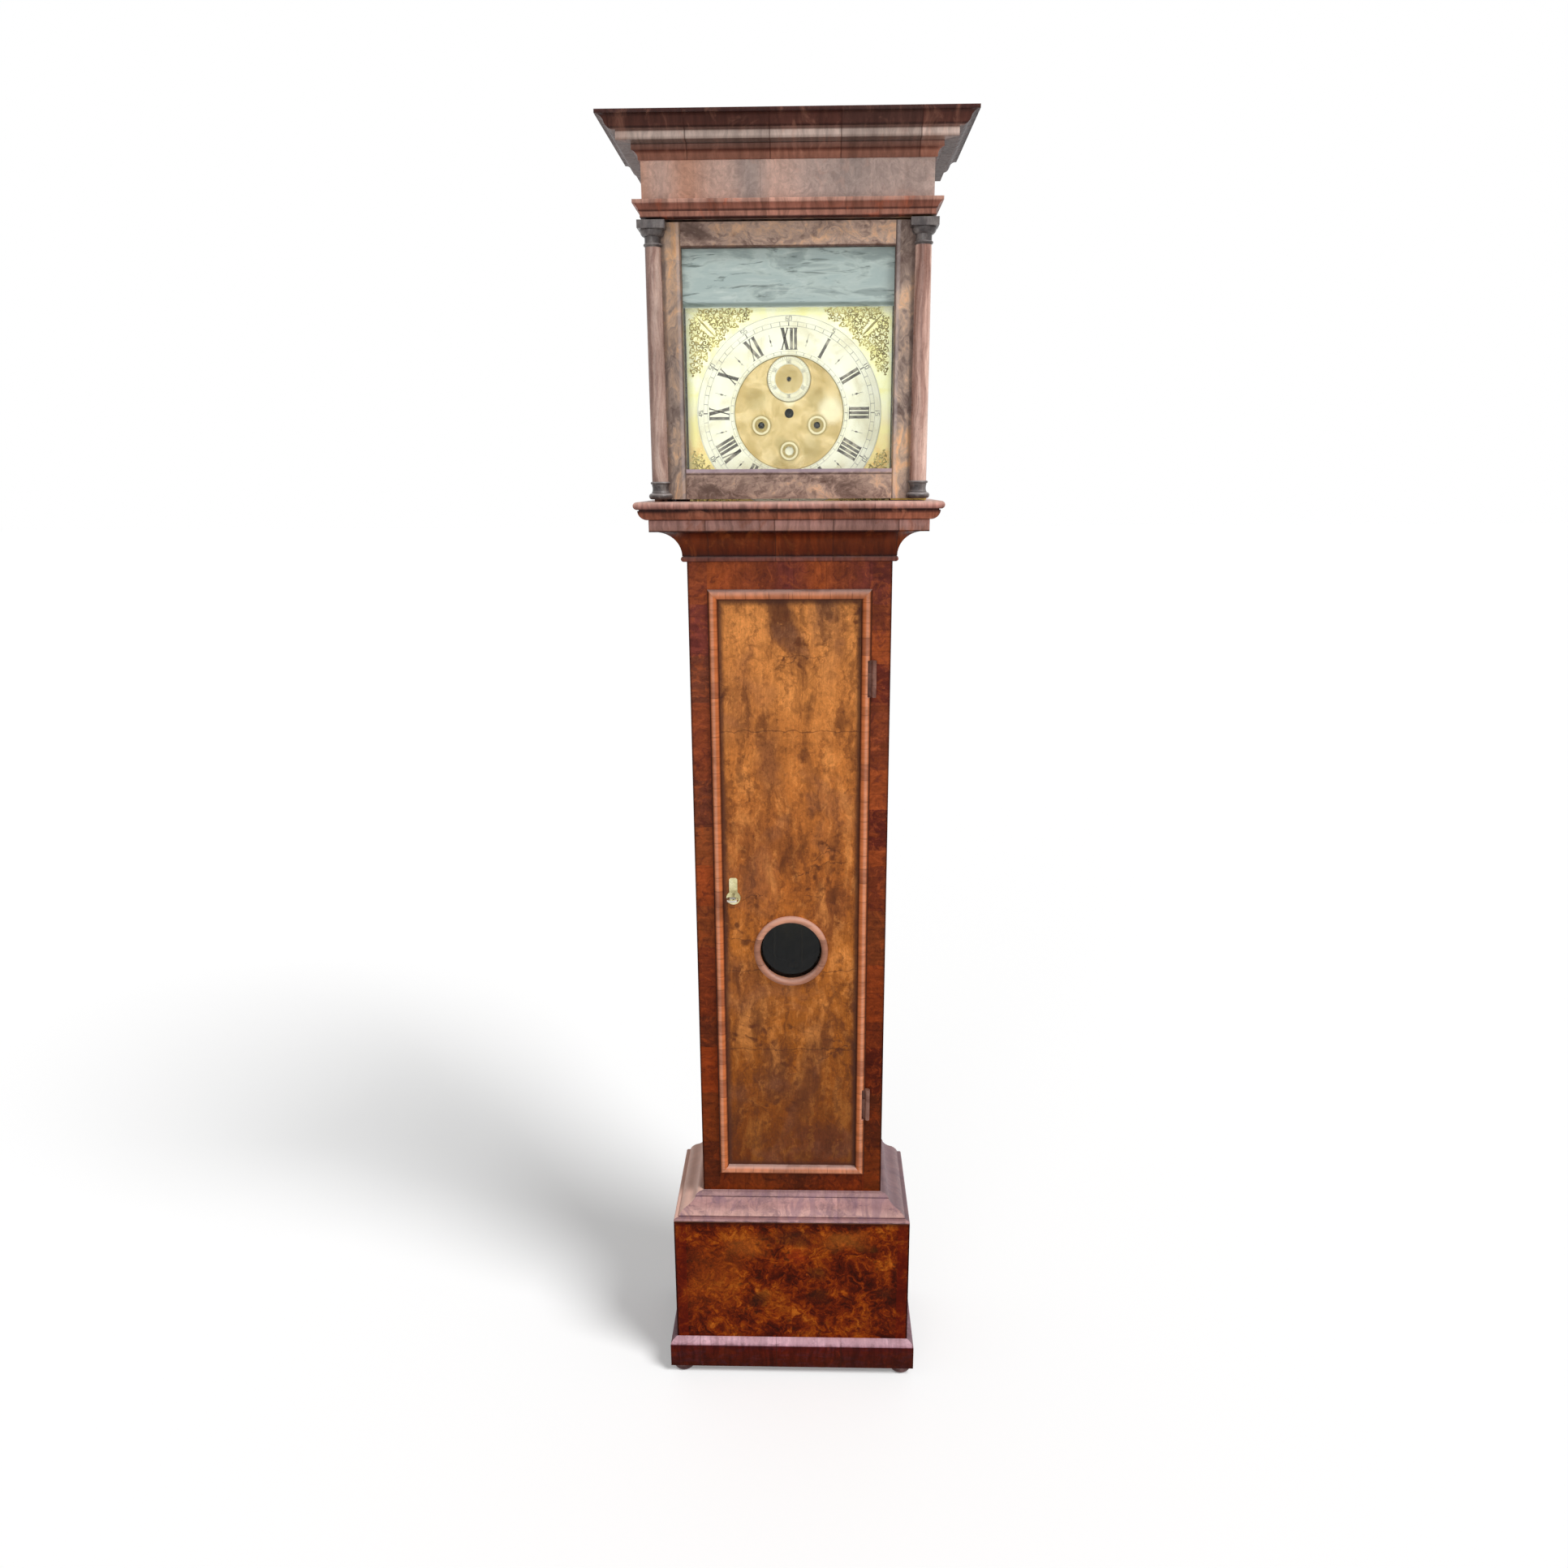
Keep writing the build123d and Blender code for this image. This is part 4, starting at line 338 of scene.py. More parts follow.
def bandedWood(name, look):
    # Cross-banded strip or moulding: height zones of colour with painted light and shade, or laid leaves,
    # then tone, streaks, curls and joints.
    material, shader, place = newMaterial(name, look.get("specular", 0.1))
    run = look.get("run")
    along = place[run] if run else useGroup(mitre, place["vector"])["Along"]
    bands = useGroup(leaves, along, place["x" if run == "z" else "z"], look["leaf"])
    if "colourAndShadeZones" in look:
        # the height zones paint the profile's light and shade along with the wood's colour
        low, high = look["colourAndShadeZones"][0][0], look["colourAndShadeZones"][-1][0]
        stops = [((z - low) / (high - low), colour) for z, colour in look["colourAndShadeZones"]]
        colour = ramp(divided(minus(place["z"], low), high - low), stops)
    else:
        colour = look["colour"]
    if "laid" in look:
        start, sequence, share = look["laid"]
        uneven = plus(along, times(bands["Curl"], 0.012))
        colour = paint(colour, share, layout(uneven, start, sequence, "EASE"))
        mottle = useGroup(burr, place["vector"], 1.3)
        colour = shade(colour, spread(mottle["Swirl"], 0.35, 0.65, 0.86, 1.12))
        colour = vary(colour, mottle["Shred"], 0.88, 1.1)
    if "mottle" in look:
        laidColour, share = look["mottle"]
        smudge = useGroup(burr, scaled(place["vector"], (1, 1, 2)), 0.9)
        colour = paint(colour, spread(smudge["Swirl"], 0.48, 0.62, 0, share), laidColour)
        colour = vary(colour, smudge["Shred"], 0.85, 1.18)
    flame = spread(bands["Curl"], *look.get("flameReach", (0.52, 0.7)))
    colour = paint(colour, times(flame, look["flame"]), look["flameColour"])
    dusk = times(spread(bands["Second"], 0.55, 0.75), look.get("dusk", 0.4))
    colour = paint(colour, dusk, look.get("duskColour", veneers["umber"]))
    depth = look["tone"]
    colour = shade(colour, spread(bands["Tone"], 0, 1, 1 - depth, 1 + depth))
    depth = look.get("streak", 0.35)
    colour = vary(colour, bands["Streak"], 1 - depth, 1 + depth)
    colour = paint(colour, times(bands["Joint"], look.get("joint", 0.6)), veneers["bark"])
    finishWood(shader, place, colour, look, minus(bands["Streak"], bands["Joint"]))
    return material


def fineLines(colour, vector, scale):
    # Thin grain lines along z between the broad ones.
    lines = noise(scaled(vector, (1, 1, 0.04)), scale, 4, 0.65, 0.4)
    return shade(colour, spread(lines, 0.36, 0.64, 0.72, 1.24))


def sideLight(colour, place, factors):
    # Painted light and shade: colour changed by one factor on the left and another on the right, eased over
    # the middle.
    return shade(colour, spread(place["x"], -0.08, 0.08, *factors))


def boardWood(name, look):
    # Plain board with its grain along z, or along x where the look says so.
    material, shader, place = newMaterial(name, look.get("specular", 0.1))
    vector = combine(*(place[axis] for axis in ("zyx" if look.get("grain") == "x" else "xyz")))
    wood = useGroup(figure, vector, look["scale"], look.get("stretch", 0.16), look.get("warp", 0.03))
    colour = ramp(spread(wood["Cloud"], 0.25, 0.75), look["stops"])
    colour = shade(colour, spread(wood["Fibre"], 0.25, 0.75, 0.8, 1.16))
    if "fine" in look:
        colour = fineLines(colour, vector, look["fine"])
    colour = paint(colour, times(wood["Pore"], 0.5), veneers["bark"])
    # painted light and shade: one side lighter than the other
    if "sides" in look:
        colour = sideLight(colour, place, look["sides"])
    if "boards" in look:  # joints between boards of this width
        saw = maths("PINGPONG", plus(place["x"], 5), look["boards"] / 2)
        colour = paint(colour, spread(saw, 0.0006, 0.0016, 0.8, 0), veneers["bark"])
    finishWood(shader, place, colour, look, minus(wood["Fibre"], wood["Pore"]))
    return material


def burrWood(name, look):
    # Swirled veneer of the hood door: clouds, curls and shreds, painted lighter on one side, with bands of
    # painted shade and painted highlight along its edges.
    material, shader, place = newMaterial(name, 0.1)
    swirl = useGroup(burr, scaled(place["vector"], look["stretch"]), look["scale"])
    figured = plus(times(swirl["Swirl"], 0.5), times(swirl["Cloud"], 0.5))
    colour = ramp(spread(figured, 0.36, 0.66), look["stops"])
    colour = paint(colour, times(swirl["Eye"], look["eye"]), veneers["bark"])
    colour = vary(colour, swirl["Shred"], 0.9, 1.1)
    colour = sideLight(colour, place, look["sides"])
    distances = {"x": absolute(place["x"]), "z": place["z"]}
    for axis, start, end, soft, laidColour, share in look["edges"]:
        away, half = gap(distances[axis], (start + end) / 2), (end - start) / 2
        colour = paint(colour, spread(away, half - soft / 2, half + soft / 2, share, 0), laidColour)
    finishWood(shader, place, colour, look, swirl["Shred"])
    return material


def dress(material, *names):
    for name in names:
        nodes[name].data.materials.clear()
        nodes[name].data.materials.append(material)
        nodes[name].active_material = material


def patches(place, colour, entries, drift):
    # Lays soft patches over a colour, each given by its centre x and z, half width and height, softness,
    # lean, colour and share.
    x, y, z = separate(moved(place["vector"], drift))
    for *shape, laidColour, share in entries:
        colour = paint(colour, times(useGroup(patch, x, z, *shape)["Mask"], share), laidColour)
    return colour


def pastRim(place, look):
    # How far past the rectangle that the look gives, sideways and upwards; below 0 inside it.
    wide = minus(absolute(place["x"]), look["halfWidth"])
    return wide, minus(gap(place["z"], look["middle"]), look["halfHeight"])


# Trunk door panel

doorPanel = {
    "top": 1.43, "bottom": 0.40,
    "shades": [(0, (96, 42, 8)), (0.25, (148, 82, 26)), (0.42, (172, 100, 38)),
               (0.52, (168, 94, 38)), (0.75, (190, 114, 52)), (1, (204, 130, 66))],
    "dark": (88, 44, 22), "bright": (232, 150, 78), "lowBright": (150, 90, 34), "dusky": (132, 84, 60),
    "crack": (58, 30, 20),
    # rim: colour of the painted shade inside the edging round the panel
    "rim": (74, 40, 30), "halfWidth": 0.1145, "halfHeight": 0.5115, "middle": 0.915,
    "stains": [
        (-0.014, 1.400, 0.020, 0.034, 0.5, -0.25, (96, 56, 36), 0.75),
        (0.004, 1.358, 0.014, 0.026, 0.6, -0.5, (120, 78, 58), 0.65),
        (0.056, 1.398, 0.022, 0.040, 0.45, 0, (100, 64, 48), 0.7),
        (0.070, 1.335, 0.012, 0.050, 0.6, 0.2, (128, 78, 50), 0.5),
        (-0.086, 1.245, 0.022, 0.050, 0.7, 0.1, (138, 84, 48), 0.45),
        (0.020, 1.285, 0.050, 0.040, 0.6, 0.3, (216, 138, 68), 0.45),
        (-0.036, 1.160, 0.018, 0.052, 0.6, -0.1, (112, 66, 44), 0.6),
        (-0.060, 1.030, 0.060, 0.045, 0.7, 0.2, (124, 68, 36), 0.45),
        (0.060, 0.880, 0.026, 0.060, 0.6, 0.3, (104, 54, 34), 0.55),
        (-0.080, 0.770, 0.030, 0.036, 0.7, 0, (108, 60, 36), 0.45),
        (-0.072, 0.690, 0.028, 0.040, 0.6, 0.3, (92, 56, 34), 0.55),
        (-0.025, 0.590, 0.024, 0.048, 0.5, -0.1, (84, 48, 34), 0.6),
        (0.035, 0.600, 0.020, 0.090, 0.4, 0.2, (92, 52, 32), 0.55),
        (0.060, 0.450, 0.040, 0.030, 0.5, -0.4, (84, 40, 26), 0.6),
    ],
    "leafJoints": (1.2120, 0.7880, 0.6360),
}


def doorPanelWood(look):
    material, shader, place = newMaterial("Figured walnut", 0.1)
    vector = place["vector"]
    wood = useGroup(figure, vector, 24, 0.35, 0.05)
    knots = useGroup(burr, vector, 1)
    fraction = divided(minus(place["z"], look["bottom"]), look["top"] - look["bottom"])
    drift = wander(vector, 30, 5, 0.6, 0.045)
    colour = patches(place, ramp(fraction, look["shades"]), look["stains"], drift)
    streaks = noise(moved(scaled(vector, (1, 1, 0.16)), drift), 62, 4, 0.6, 0.5)
    bright, dark = paint(look["lowBright"], spread(fraction, 0, 0.4), look["bright"]), look["dark"]
    for pattern, low, high, start, end, laidColour in (
            (wood["Cloud"], 0.5, 0.66, 0, 0.55, bright), (wood["Cloud"], 0.34, 0.48, 0.65, 0, dark),
            (streaks, 0.36, 0.5, 0.5, 0, dark), (streaks, 0.54, 0.66, 0, 0.35, bright),
            (knots["Cloud"], 0.52, 0.64, 0, 0.3, look["dusky"]), (knots["Swirl"], 0.38, 0.50, 0.3, 0, dark)):
        colour = paint(colour, spread(pattern, low, high, start, end), laidColour)
    colour = paint(colour, times(knots["Eye"], 0.8), dark)
    colour = vary(colour, knots["Shred"], 0.84, 1.16)
    colour = shade(colour, spread(wood["Fibre"], 0.25, 0.75, 0.84, 1.14))
    split = addNode("ShaderNodeTexVoronoi", {"Vector": moved(scaled(vector, (0.6, 1, 1.6)), drift),
                                             "Scale": 7}, feature="DISTANCE_TO_EDGE")
    crack = times(spread(split.outputs[0], 0.002, 0.009, 0.8, 0), spread(noise(vector, 9, 2), 0.5, 0.6))
    slope = plus(place["z"], times(separate(drift)[0], 0.5))
    for level in look["leafJoints"]:
        crack = larger(crack, spread(gap(slope, level), 0.0003, 0.0014, 0.7, 0))
    colour = paint(colour, times(crack, 0.75), look["crack"])
    # painted shade inside the edging, round the panel's rim
    colour = paint(colour, spread(larger(*pastRim(place, look)), -0.011, -0.001, 0, 0.8), look["rim"])
    finishWood(shader, place, colour, {"grime": 0.12, "rough": 0.34}, minus(wood["Fibre"], times(crack, 2)))
    return material


dress(doorPanelWood(doorPanel), "trunk_door_panel")


# Trunk front frame: stiles banded across, rails banded upright

trunkFront = {
    "middle": 0.915, "openingHalfWidth": 0.1315, "openingHalfHeight": 0.5285, "leaf": 0.075,
    "stileFoot": 0.34, "railStart": -0.17,  # where the first leaf of each begins
    # cornerShade: where painted shade, in the edge colour, darkens the outer corners
    "rightDim": 0.74, "cornerShade": (0.1580, 0.1622), "gainHeights": (0.45, 1.45),
    "leftStile": [(0.45, "umber"), (0.55, "chestnut"), (0.64, "rust"), (0.70, "umber"), (0.83, "russet"),
                  (0.91, "chestnut"), (0.98, "rust"), (1.05, "chestnut"), (1.13, "umber"), (1.26, "russet"),
                  (1.34, "umber"), (1.42, "maroon"), (1.50, "russet")],
    "rightStile": [(0.44, "chestnut"), (0.55, "umber"), (0.64, "oxblood"), (0.69, "russet"), (0.80, "rust"),
                   (0.90, "chestnut"), (0.98, "russet"), (1.01, "rust"), (1.08, "oxblood"), (1.15, "rust"),
                   (1.26, "russet"), (1.327, "oxblood"), (1.38, "rust"), (1.42, "russet"), (1.50, "maroon")],
    "topRail": [(-0.125, "russet"), (-0.042, "rust"), (-0.002, "russet"), (0.048, "maroon"), (0.078, "rust"),
                (0.130, "russet"), (0.17, "maroon")],
    "bottomRail": [(-0.06, "russet"), (0.01, "chestnut"), (0.09, "umber"), (0.17, "russet")],
    "common": (118, 56, 38), "glow": (168, 84, 46), "gloom": (74, 30, 30),
    "edge": (30, 8, 6), "lowGain": (0.52, 0.36, 0.18, 1), "highGain": (0.98, 1, 0.95, 1),
}


def trunkFrontWood(look):
    material, shader, place = newMaterial("Cross-banded walnut", 0.05)
    x, z = place["x"], place["z"]
    past = above(gap(z, look["middle"]), look["openingHalfHeight"])
    rail = times(below(absolute(x), look["openingHalfWidth"]), past)
    seed = choose(rail, times(sign(x), 7), 3)
    bands = useGroup(leaves, choose(rail, z, x), choose(rail, x, z), look["leaf"], seed)
    edge = plus(z, times(bands["Curl"], 0.008))
    left, right = [layout(edge, look["stileFoot"], look[name]) for name in ("leftStile", "rightStile")]
    top, bottom = [layout(x, look["railStart"], look[name], "EASE") for name in ("topRail", "bottomRail")]
    stiles = paint(left, above(x, 0), shade(right, look["rightDim"]))
    rails = paint(bottom, above(z, look["middle"]), top)
    colour = paint(paint(stiles, rail, rails), 0.32, look["common"])
    mottle = useGroup(burr, place["vector"], 1.5)
    colour = paint(colour, spread(mottle["Swirl"], 0.5, 0.66, 0, 0.45), look["glow"])
    colour = paint(colour, spread(mottle["Swirl"], 0.36, 0.48, 0.55, 0), look["gloom"])
    colour = vary(colour, mottle["Shred"], 0.84, 1.16)
    colour = paint(colour, spread(bands["Curl"], 0.52, 0.74, 0, 0.45), veneers["rust"])
    colour = vary(colour, bands["Streak"], 0.78, 1.18)
    colour = paint(colour, times(bands["Joint"], 0.25), veneers["bark"])
    # painted shade along the outer corners
    colour = paint(colour, spread(absolute(x), *look["cornerShade"], 0, 0.75), look["edge"])
    colour = scaled(colour, paint(look["lowGain"], spread(z, *look["gainHeights"]), look["highGain"]))
    finishWood(shader, place, colour, {"grime": 0.3, "rough": 0.36, "gain": (1.3, 1.3, 1.3)}, bands["Streak"])
    return material


dress(trunkFrontWood(trunkFront), "trunk_front")


# Half-round edging of the door: short leaves across it, with painted shade along both of its edges and a
# painted highlight along its crown

doorEdge = {"middle": 0.915, "halfWidth": 0.1230, "halfHeight": 0.5200, "leaf": 0.030,
            "crown": 0.0015, "between": -0.0006,  # top of the round and the middle between its dark edges
            "brown": (188, 100, 48), "pink": (206, 142, 112), "purple": (112, 62, 50),
            "line": (44, 18, 16)}


def doorEdgeWood(look):
    material, shader, place = newMaterial("Door edge banding", 0.1)
    wide, high = pastRim(place, look)
    level, reach = above(high, wide), larger(wide, high)
    along = choose(level, place["z"], plus(place["x"], 4))
    bands = useGroup(leaves, along, reach, look["leaf"], times(sign(place["x"]), 5.3))
    # painted highlight along the crown of the round
    colour = paint(look["brown"], spread(gap(reach, look["crown"]), 0.0005, 0.0045, 0.75, 0.1), look["pink"])
    colour = paint(colour, spread(bands["Tone"], 0.62, 0.8, 0, 0.4), look["purple"])
    colour = paint(colour, times(level, 0.25), look["pink"])
    colour = vary(colour, bands["Streak"], 0.8, 1.2)
    colour = paint(colour, times(bands["Joint"], 0.3), look["line"])
    # painted shade along both edges of the round
    colour = paint(colour, spread(gap(reach, look["between"]), 0.0042, 0.0076, 0, 0.9), look["line"])
    finishWood(shader, place, colour, {"grime": 0.3, "paintedSheen": 0.6, "paintedSheenColour": (214, 176, 164)},
               minus(bands["Streak"], bands["Joint"]))
    return material


dress(doorEdgeWood(doorEdge), "trunk_door_moulding")

sideBoards = {"stops": [(0, (52, 22, 14)), (0.45, (96, 46, 26)), (0.7, (128, 66, 34)),
                        (1, (150, 84, 44))], "scale": 34, "stretch": 0.08, "warp": 0.035, "fine": 170}
dress(boardWood("Side walnut", sideBoards), "trunk_sides")
print("stage: trunk dressed")

# Mouldings of the throat and hood, each with its own height zones: the wood's colour with painted light and
# shade, pale on the noses and dark under them

mouldings = {
    "throat_moulding": {"leaf": 0.09, "colourAndShadeZones": [
        (1.4868, (60, 22, 18)), (1.489, (130, 76, 64)), (1.4935, (136, 80, 68)), (1.4962, (50, 14, 8)),
        (1.500, (90, 32, 8)), (1.520, (108, 44, 12)), (1.530, (80, 28, 10)), (1.5345, (40, 12, 8)),
        (1.5362, (60, 24, 18)), (1.5375, (152, 110, 98)), (1.545, (172, 128, 118)),
        (1.551, (166, 120, 110)), (1.553, (96, 60, 52))],
        "flameColour": (148, 76, 34), "flame": 0.4, "tone": 0.14, "streak": 0.3, "paintedSheen": 0.4, "dusk": 0.25,
        "duskColour": (78, 36, 30)},
    "hood_base_moulding": {"leaf": 0.07, "colourAndShadeZones": [
        (1.553, (60, 28, 22)), (1.5545, (130, 76, 58)), (1.562, (120, 70, 54)), (1.566, (50, 22, 18)),
        (1.5685, (54, 26, 22)), (1.5705, (130, 90, 84)), (1.575, (164, 122, 116)),
        (1.58, (172, 136, 128))],
        "flameColour": (156, 98, 78), "flame": 0.5, "tone": 0.2, "paintedSheen": 0.7, "dusk": 0.4, "joint": 0.35,
        "duskColour": (84, 46, 40), "gain": (1.35, 1.3, 1.2)},
    "architrave_moulding": {"leaf": 0.11, "colourAndShadeZones": [
        (1.975, (60, 34, 30)), (1.977, (150, 106, 92)), (1.982, (156, 110, 94)),
        (1.9835, (60, 34, 30)), (1.986, (130, 84, 70)), (1.991, (120, 78, 66)), (1.9925, (150, 114, 102)),
        (1.997, (168, 132, 118))],
        "flameColour": (168, 90, 62), "flame": 0.45, "tone": 0.15, "paintedSheen": 0.5, "dusk": 0.3, "joint": 0.25,
        "gain": (1.4, 1.3, 1.25)},
    "cornice": {"leaf": 0.10, "colourAndShadeZones": [
        (2.049, (140, 90, 72)), (2.056, (146, 96, 78)), (2.0595, (92, 52, 42)), (2.062, (126, 84, 70)),
        (2.0665, (142, 104, 92)), (2.0675, (60, 34, 28)), (2.0690, (176, 152, 140)),
        (2.0725, (216, 192, 180)), (2.0775, (212, 188, 176)), (2.0800, (120, 90, 80)),
        (2.0812, (50, 26, 22)), (2.0835, (84, 48, 40)), (2.092, (78, 44, 36)), (2.0955, (50, 26, 22)),
        (2.1, (74, 42, 38))],
        "flameColour": (196, 136, 112), "flame": 0.2, "tone": 0.14, "streak": 0.22, "paintedSheen": 0.3, "dusk": 0.3,
        "duskColour": (112, 92, 86), "left": ((86, 68, 64), 0.5), "right": ((64, 52, 52), 0.55)},
    "base_moulding": {"leaf": 0.11, "colourAndShadeZones": [
        (0.316, (150, 110, 112)), (0.319, (184, 142, 138)), (0.322, (150, 108, 108)),
        (0.3235, (110, 76, 76)), (0.325, (206, 164, 152)), (0.331, (192, 150, 142)),
        (0.338, (170, 126, 124)), (0.3435, (176, 136, 132)), (0.3447, (92, 64, 64)),
        (0.346, (150, 116, 114)), (0.350, (168, 134, 132))],
        "flameColour": (108, 82, 102), "flame": 0.6, "flameReach": (0.46, 0.6), "tone": 0.14, "streak": 0.12,
        "paintedSheen": 0.3, "paintedSheenColour": (206, 164, 160), "dusk": 0.35, "duskColour": (140, 104, 114),
        "grimeColour": (96, 70, 84), "grime": 0.4, "joint": 0.15, "left": ((240, 196, 176), 0.75),
        "right": ((110, 96, 100), 0.6), "mottle": ((98, 76, 88), 0.65)},
    "skirting": {"leaf": 0.12, "colourAndShadeZones": [
        (0.016, (60, 18, 6)), (0.050, (76, 18, 6)), (0.0605, (66, 10, 12)), (0.0625, (176, 132, 144)),
        (0.072, (232, 192, 204))], "specular": 0.04,
        "flameColour": (108, 36, 10), "flame": 0.35, "tone": 0.14, "paintedSheen": 0.7, "paintedSheenColour": (186, 146, 154),
        "dusk": 0.3, "duskColour": (64, 28, 26), "left": ((34, 12, 10), 0.6), "right": ((20, 6, 6), 0.6),
        "mottle": ((70, 34, 40), 0.4)},
}
for name, look in mouldings.items():
    dress(bandedWood(name.replace("_", " ").capitalize(), look), name)
dress(bandedWood("Frieze veneer", {
    "run": "x", "leaf": 0.16, "colour": (190, 166, 154),
    "laid": (-0.215, [(-0.175, "clay"), (-0.138, "fawn"), (-0.092, "clay"), (-0.045, "fawn"), (-0.012, "ash"),
                      (0.05, "fawn"), (0.10, "driftwood"), (0.134, "ash"), (0.215, "driftwood")], 0.7),
    "flameColour": (200, 148, 124), "flame": 0.15, "tone": 0.05, "streak": 0.1, "paintedSheen": 0.3, "dusk": 0.2,
    "duskColour": (136, 122, 116), "joint": 0.12, "grime": 0.12, "gain": (1.33, 1.35, 1.4),
    "right": ((96, 80, 74), 0.6),
}), "hood_frieze")
dress(burrWood("Hood door rails", {
    "scale": 1.5, "stretch": (0.8, 1, 1.2), "eye": 0.4,
    "stops": [(0, (98, 76, 68)), (0.3, (138, 112, 102)), (0.6, (168, 140, 126)), (1, (204, 160, 130))],
    "gain": (1.17, 1.21, 1.18),
    # painted shade under the top rail, a pale painted highlight on the bottom rail's rebate and painted shade
    # below it
    "edges": [("z", 1.9375, 1.9400, 0.002, veneers["bark"], 0.8),
              ("z", 1.6225, 1.6290, 0.003, (168, 148, 162), 0.7),
              ("z", 1.6190, 1.6215, 0.002, (60, 40, 40), 0.7)],
    "sides": (0.92, 1.08), "paintedSheen": 0.9, "paintedSheenColour": (170, 146, 162)}), "hood_door_rails", "hood_rails")
dress(burrWood("Hood door stiles", {
    "scale": 1.4, "stretch": (1, 1, 0.55), "eye": 0.3,
    "stops": [(0, (90, 72, 66)), (0.35, (134, 114, 104)), (0.65, (168, 138, 118)), (1, (206, 156, 116))],
    "gain": (1.2, 1.26, 1.26),
    # painted shade at the opening, a pale painted highlight beside it and the columns' painted shadow along
    # the outer edge
    "edges": [("x", 0.1555, 0.1580, 0.003, (60, 44, 42), 0.8),
              ("x", 0.1580, 0.1625, 0.003, (172, 158, 158), 0.35),
              ("x", 0.1790, 0.1860, 0.005, (64, 46, 42), 0.6)],
    "sides": (0.90, 1.24), "paintedSheen": 0.3}), "hood_door_stiles")
# Column shafts with painted light: the right one lighter than the left
dress(boardWood("Column walnut", {
    "stops": [(0, (104, 72, 62)), (0.4, (158, 124, 112)), (0.7, (190, 158, 144)), (1, (210, 182, 168))],
    "scale": 60, "stretch": 0.05, "grime": 0.3, "rough": 0.3, "specular": 0.3, "sides": (0.86, 1.5)}),
    "column_shafts")
dress(boardWood("Ebonised wood", {
    "stops": [(0, (50, 42, 42)), (0.5, (88, 80, 78)), (1, (124, 116, 112))],
    "scale": 90, "stretch": 0.5, "rough": 0.34, "paintedSheen": 0.7, "paintedSheenColour": (160, 150, 148), "specular": 0.4}),
    "column_capitals", "column_bases")
dress(boardWood("Hood side walnut", {**sideBoards, "stops": [
    (0, (72, 44, 34)), (0.45, (112, 74, 58)), (0.7, (140, 98, 78)), (1, (160, 118, 96))]}), "hood_sides")
print("stage: hood dressed")


# Base: book-matched burr on the front, boards on the sides

basePanel = {
    "shades": [(0, (44, 10, 4)), (0.3, (86, 24, 6)), (0.52, (118, 42, 8)), (0.75, (146, 66, 12)),
               (1, (184, 100, 32))],
    "eye": (44, 20, 12), "rim": (100, 20, 6), "edge": (26, 4, 4),
    # sideShade and shadeUnderMoulding: where painted shade, in the edge colour, darkens the outer sides and
    # the top under the moulding
    "rimFrom": 0.192, "sideShade": (0.2085, 0.2122), "shadeUnderMoulding": (0.304, 0.316),
    "stains": [
        (-0.082, 0.268, 0.030, 0.018, 0.9, 0.2, (184, 104, 44), 0.35),
        (0.094, 0.280, 0.034, 0.014, 0.9, -0.2, (196, 112, 46), 0.4),
        (0.010, 0.252, 0.020, 0.016, 0.8, 0.3, (172, 62, 22), 0.35),
        (0.002, 0.286, 0.030, 0.016, 0.6, 0, (66, 34, 22), 0.6),
        (-0.060, 0.155, 0.016, 0.014, 0.6, 0, (46, 22, 14), 0.75),
        (0.044, 0.209, 0.014, 0.012, 0.6, 0, (54, 26, 16), 0.65),
        (0.051, 0.160, 0.018, 0.012, 0.6, 0, (46, 22, 14), 0.7),
        (0.170, 0.168, 0.014, 0.012, 0.6, 0, (56, 28, 18), 0.6),
        (-0.140, 0.200, 0.040, 0.050, 0.8, 0.2, (140, 66, 22), 0.4),
    ],
}


def basePanelWood(look):
    material, shader, place = newMaterial("Burr walnut", 0.04)
    vector = place["vector"]
    swirl = useGroup(burr, moved(vector, combine(times(sign(place["x"]), 2))), 1.5)
    loose = useGroup(burr, vector, 1.7)
    figured = plus(times(swirl["Swirl"], 0.55), times(loose["Cloud"], 0.45))
    colour = ramp(spread(figured, 0.34, 0.68), look["shades"])
    colour = patches(place, colour, look["stains"], wander(vector, 26, 4, 0.6, 0.05))
    colour = paint(colour, times(swirl["Eye"], 0.7), look["eye"])
    colour = vary(colour, loose["Shred"], 0.7, 1.3)
    out = absolute(place["x"])
    colour = paint(colour, times(above(out, look["rimFrom"]), 0.5), look["rim"])
    # painted shade along the outer sides and under the moulding
    edges = larger(spread(out, *look["sideShade"], 0, 0.9), spread(place["z"], *look["shadeUnderMoulding"], 0, 0.6))
    colour = paint(colour, edges, look["edge"])
    wood = useGroup(figure, vector, sideBoards["scale"], sideBoards["stretch"], sideBoards["warp"])
    board = ramp(spread(wood["Cloud"], 0.25, 0.75), sideBoards["stops"])
    front = spread(absolute(separate(place["normal"])[1]), 0.3, 0.6)
    colour = paint(fineLines(board, vector, sideBoards["fine"]), front, colour)
    finishWood(shader, place, colour, {"grime": 0.2, "rough": 0.34, "paintedSheen": 0.3, "gain": (0.86, 0.82, 0.6)},
               loose["Shred"])
    return material


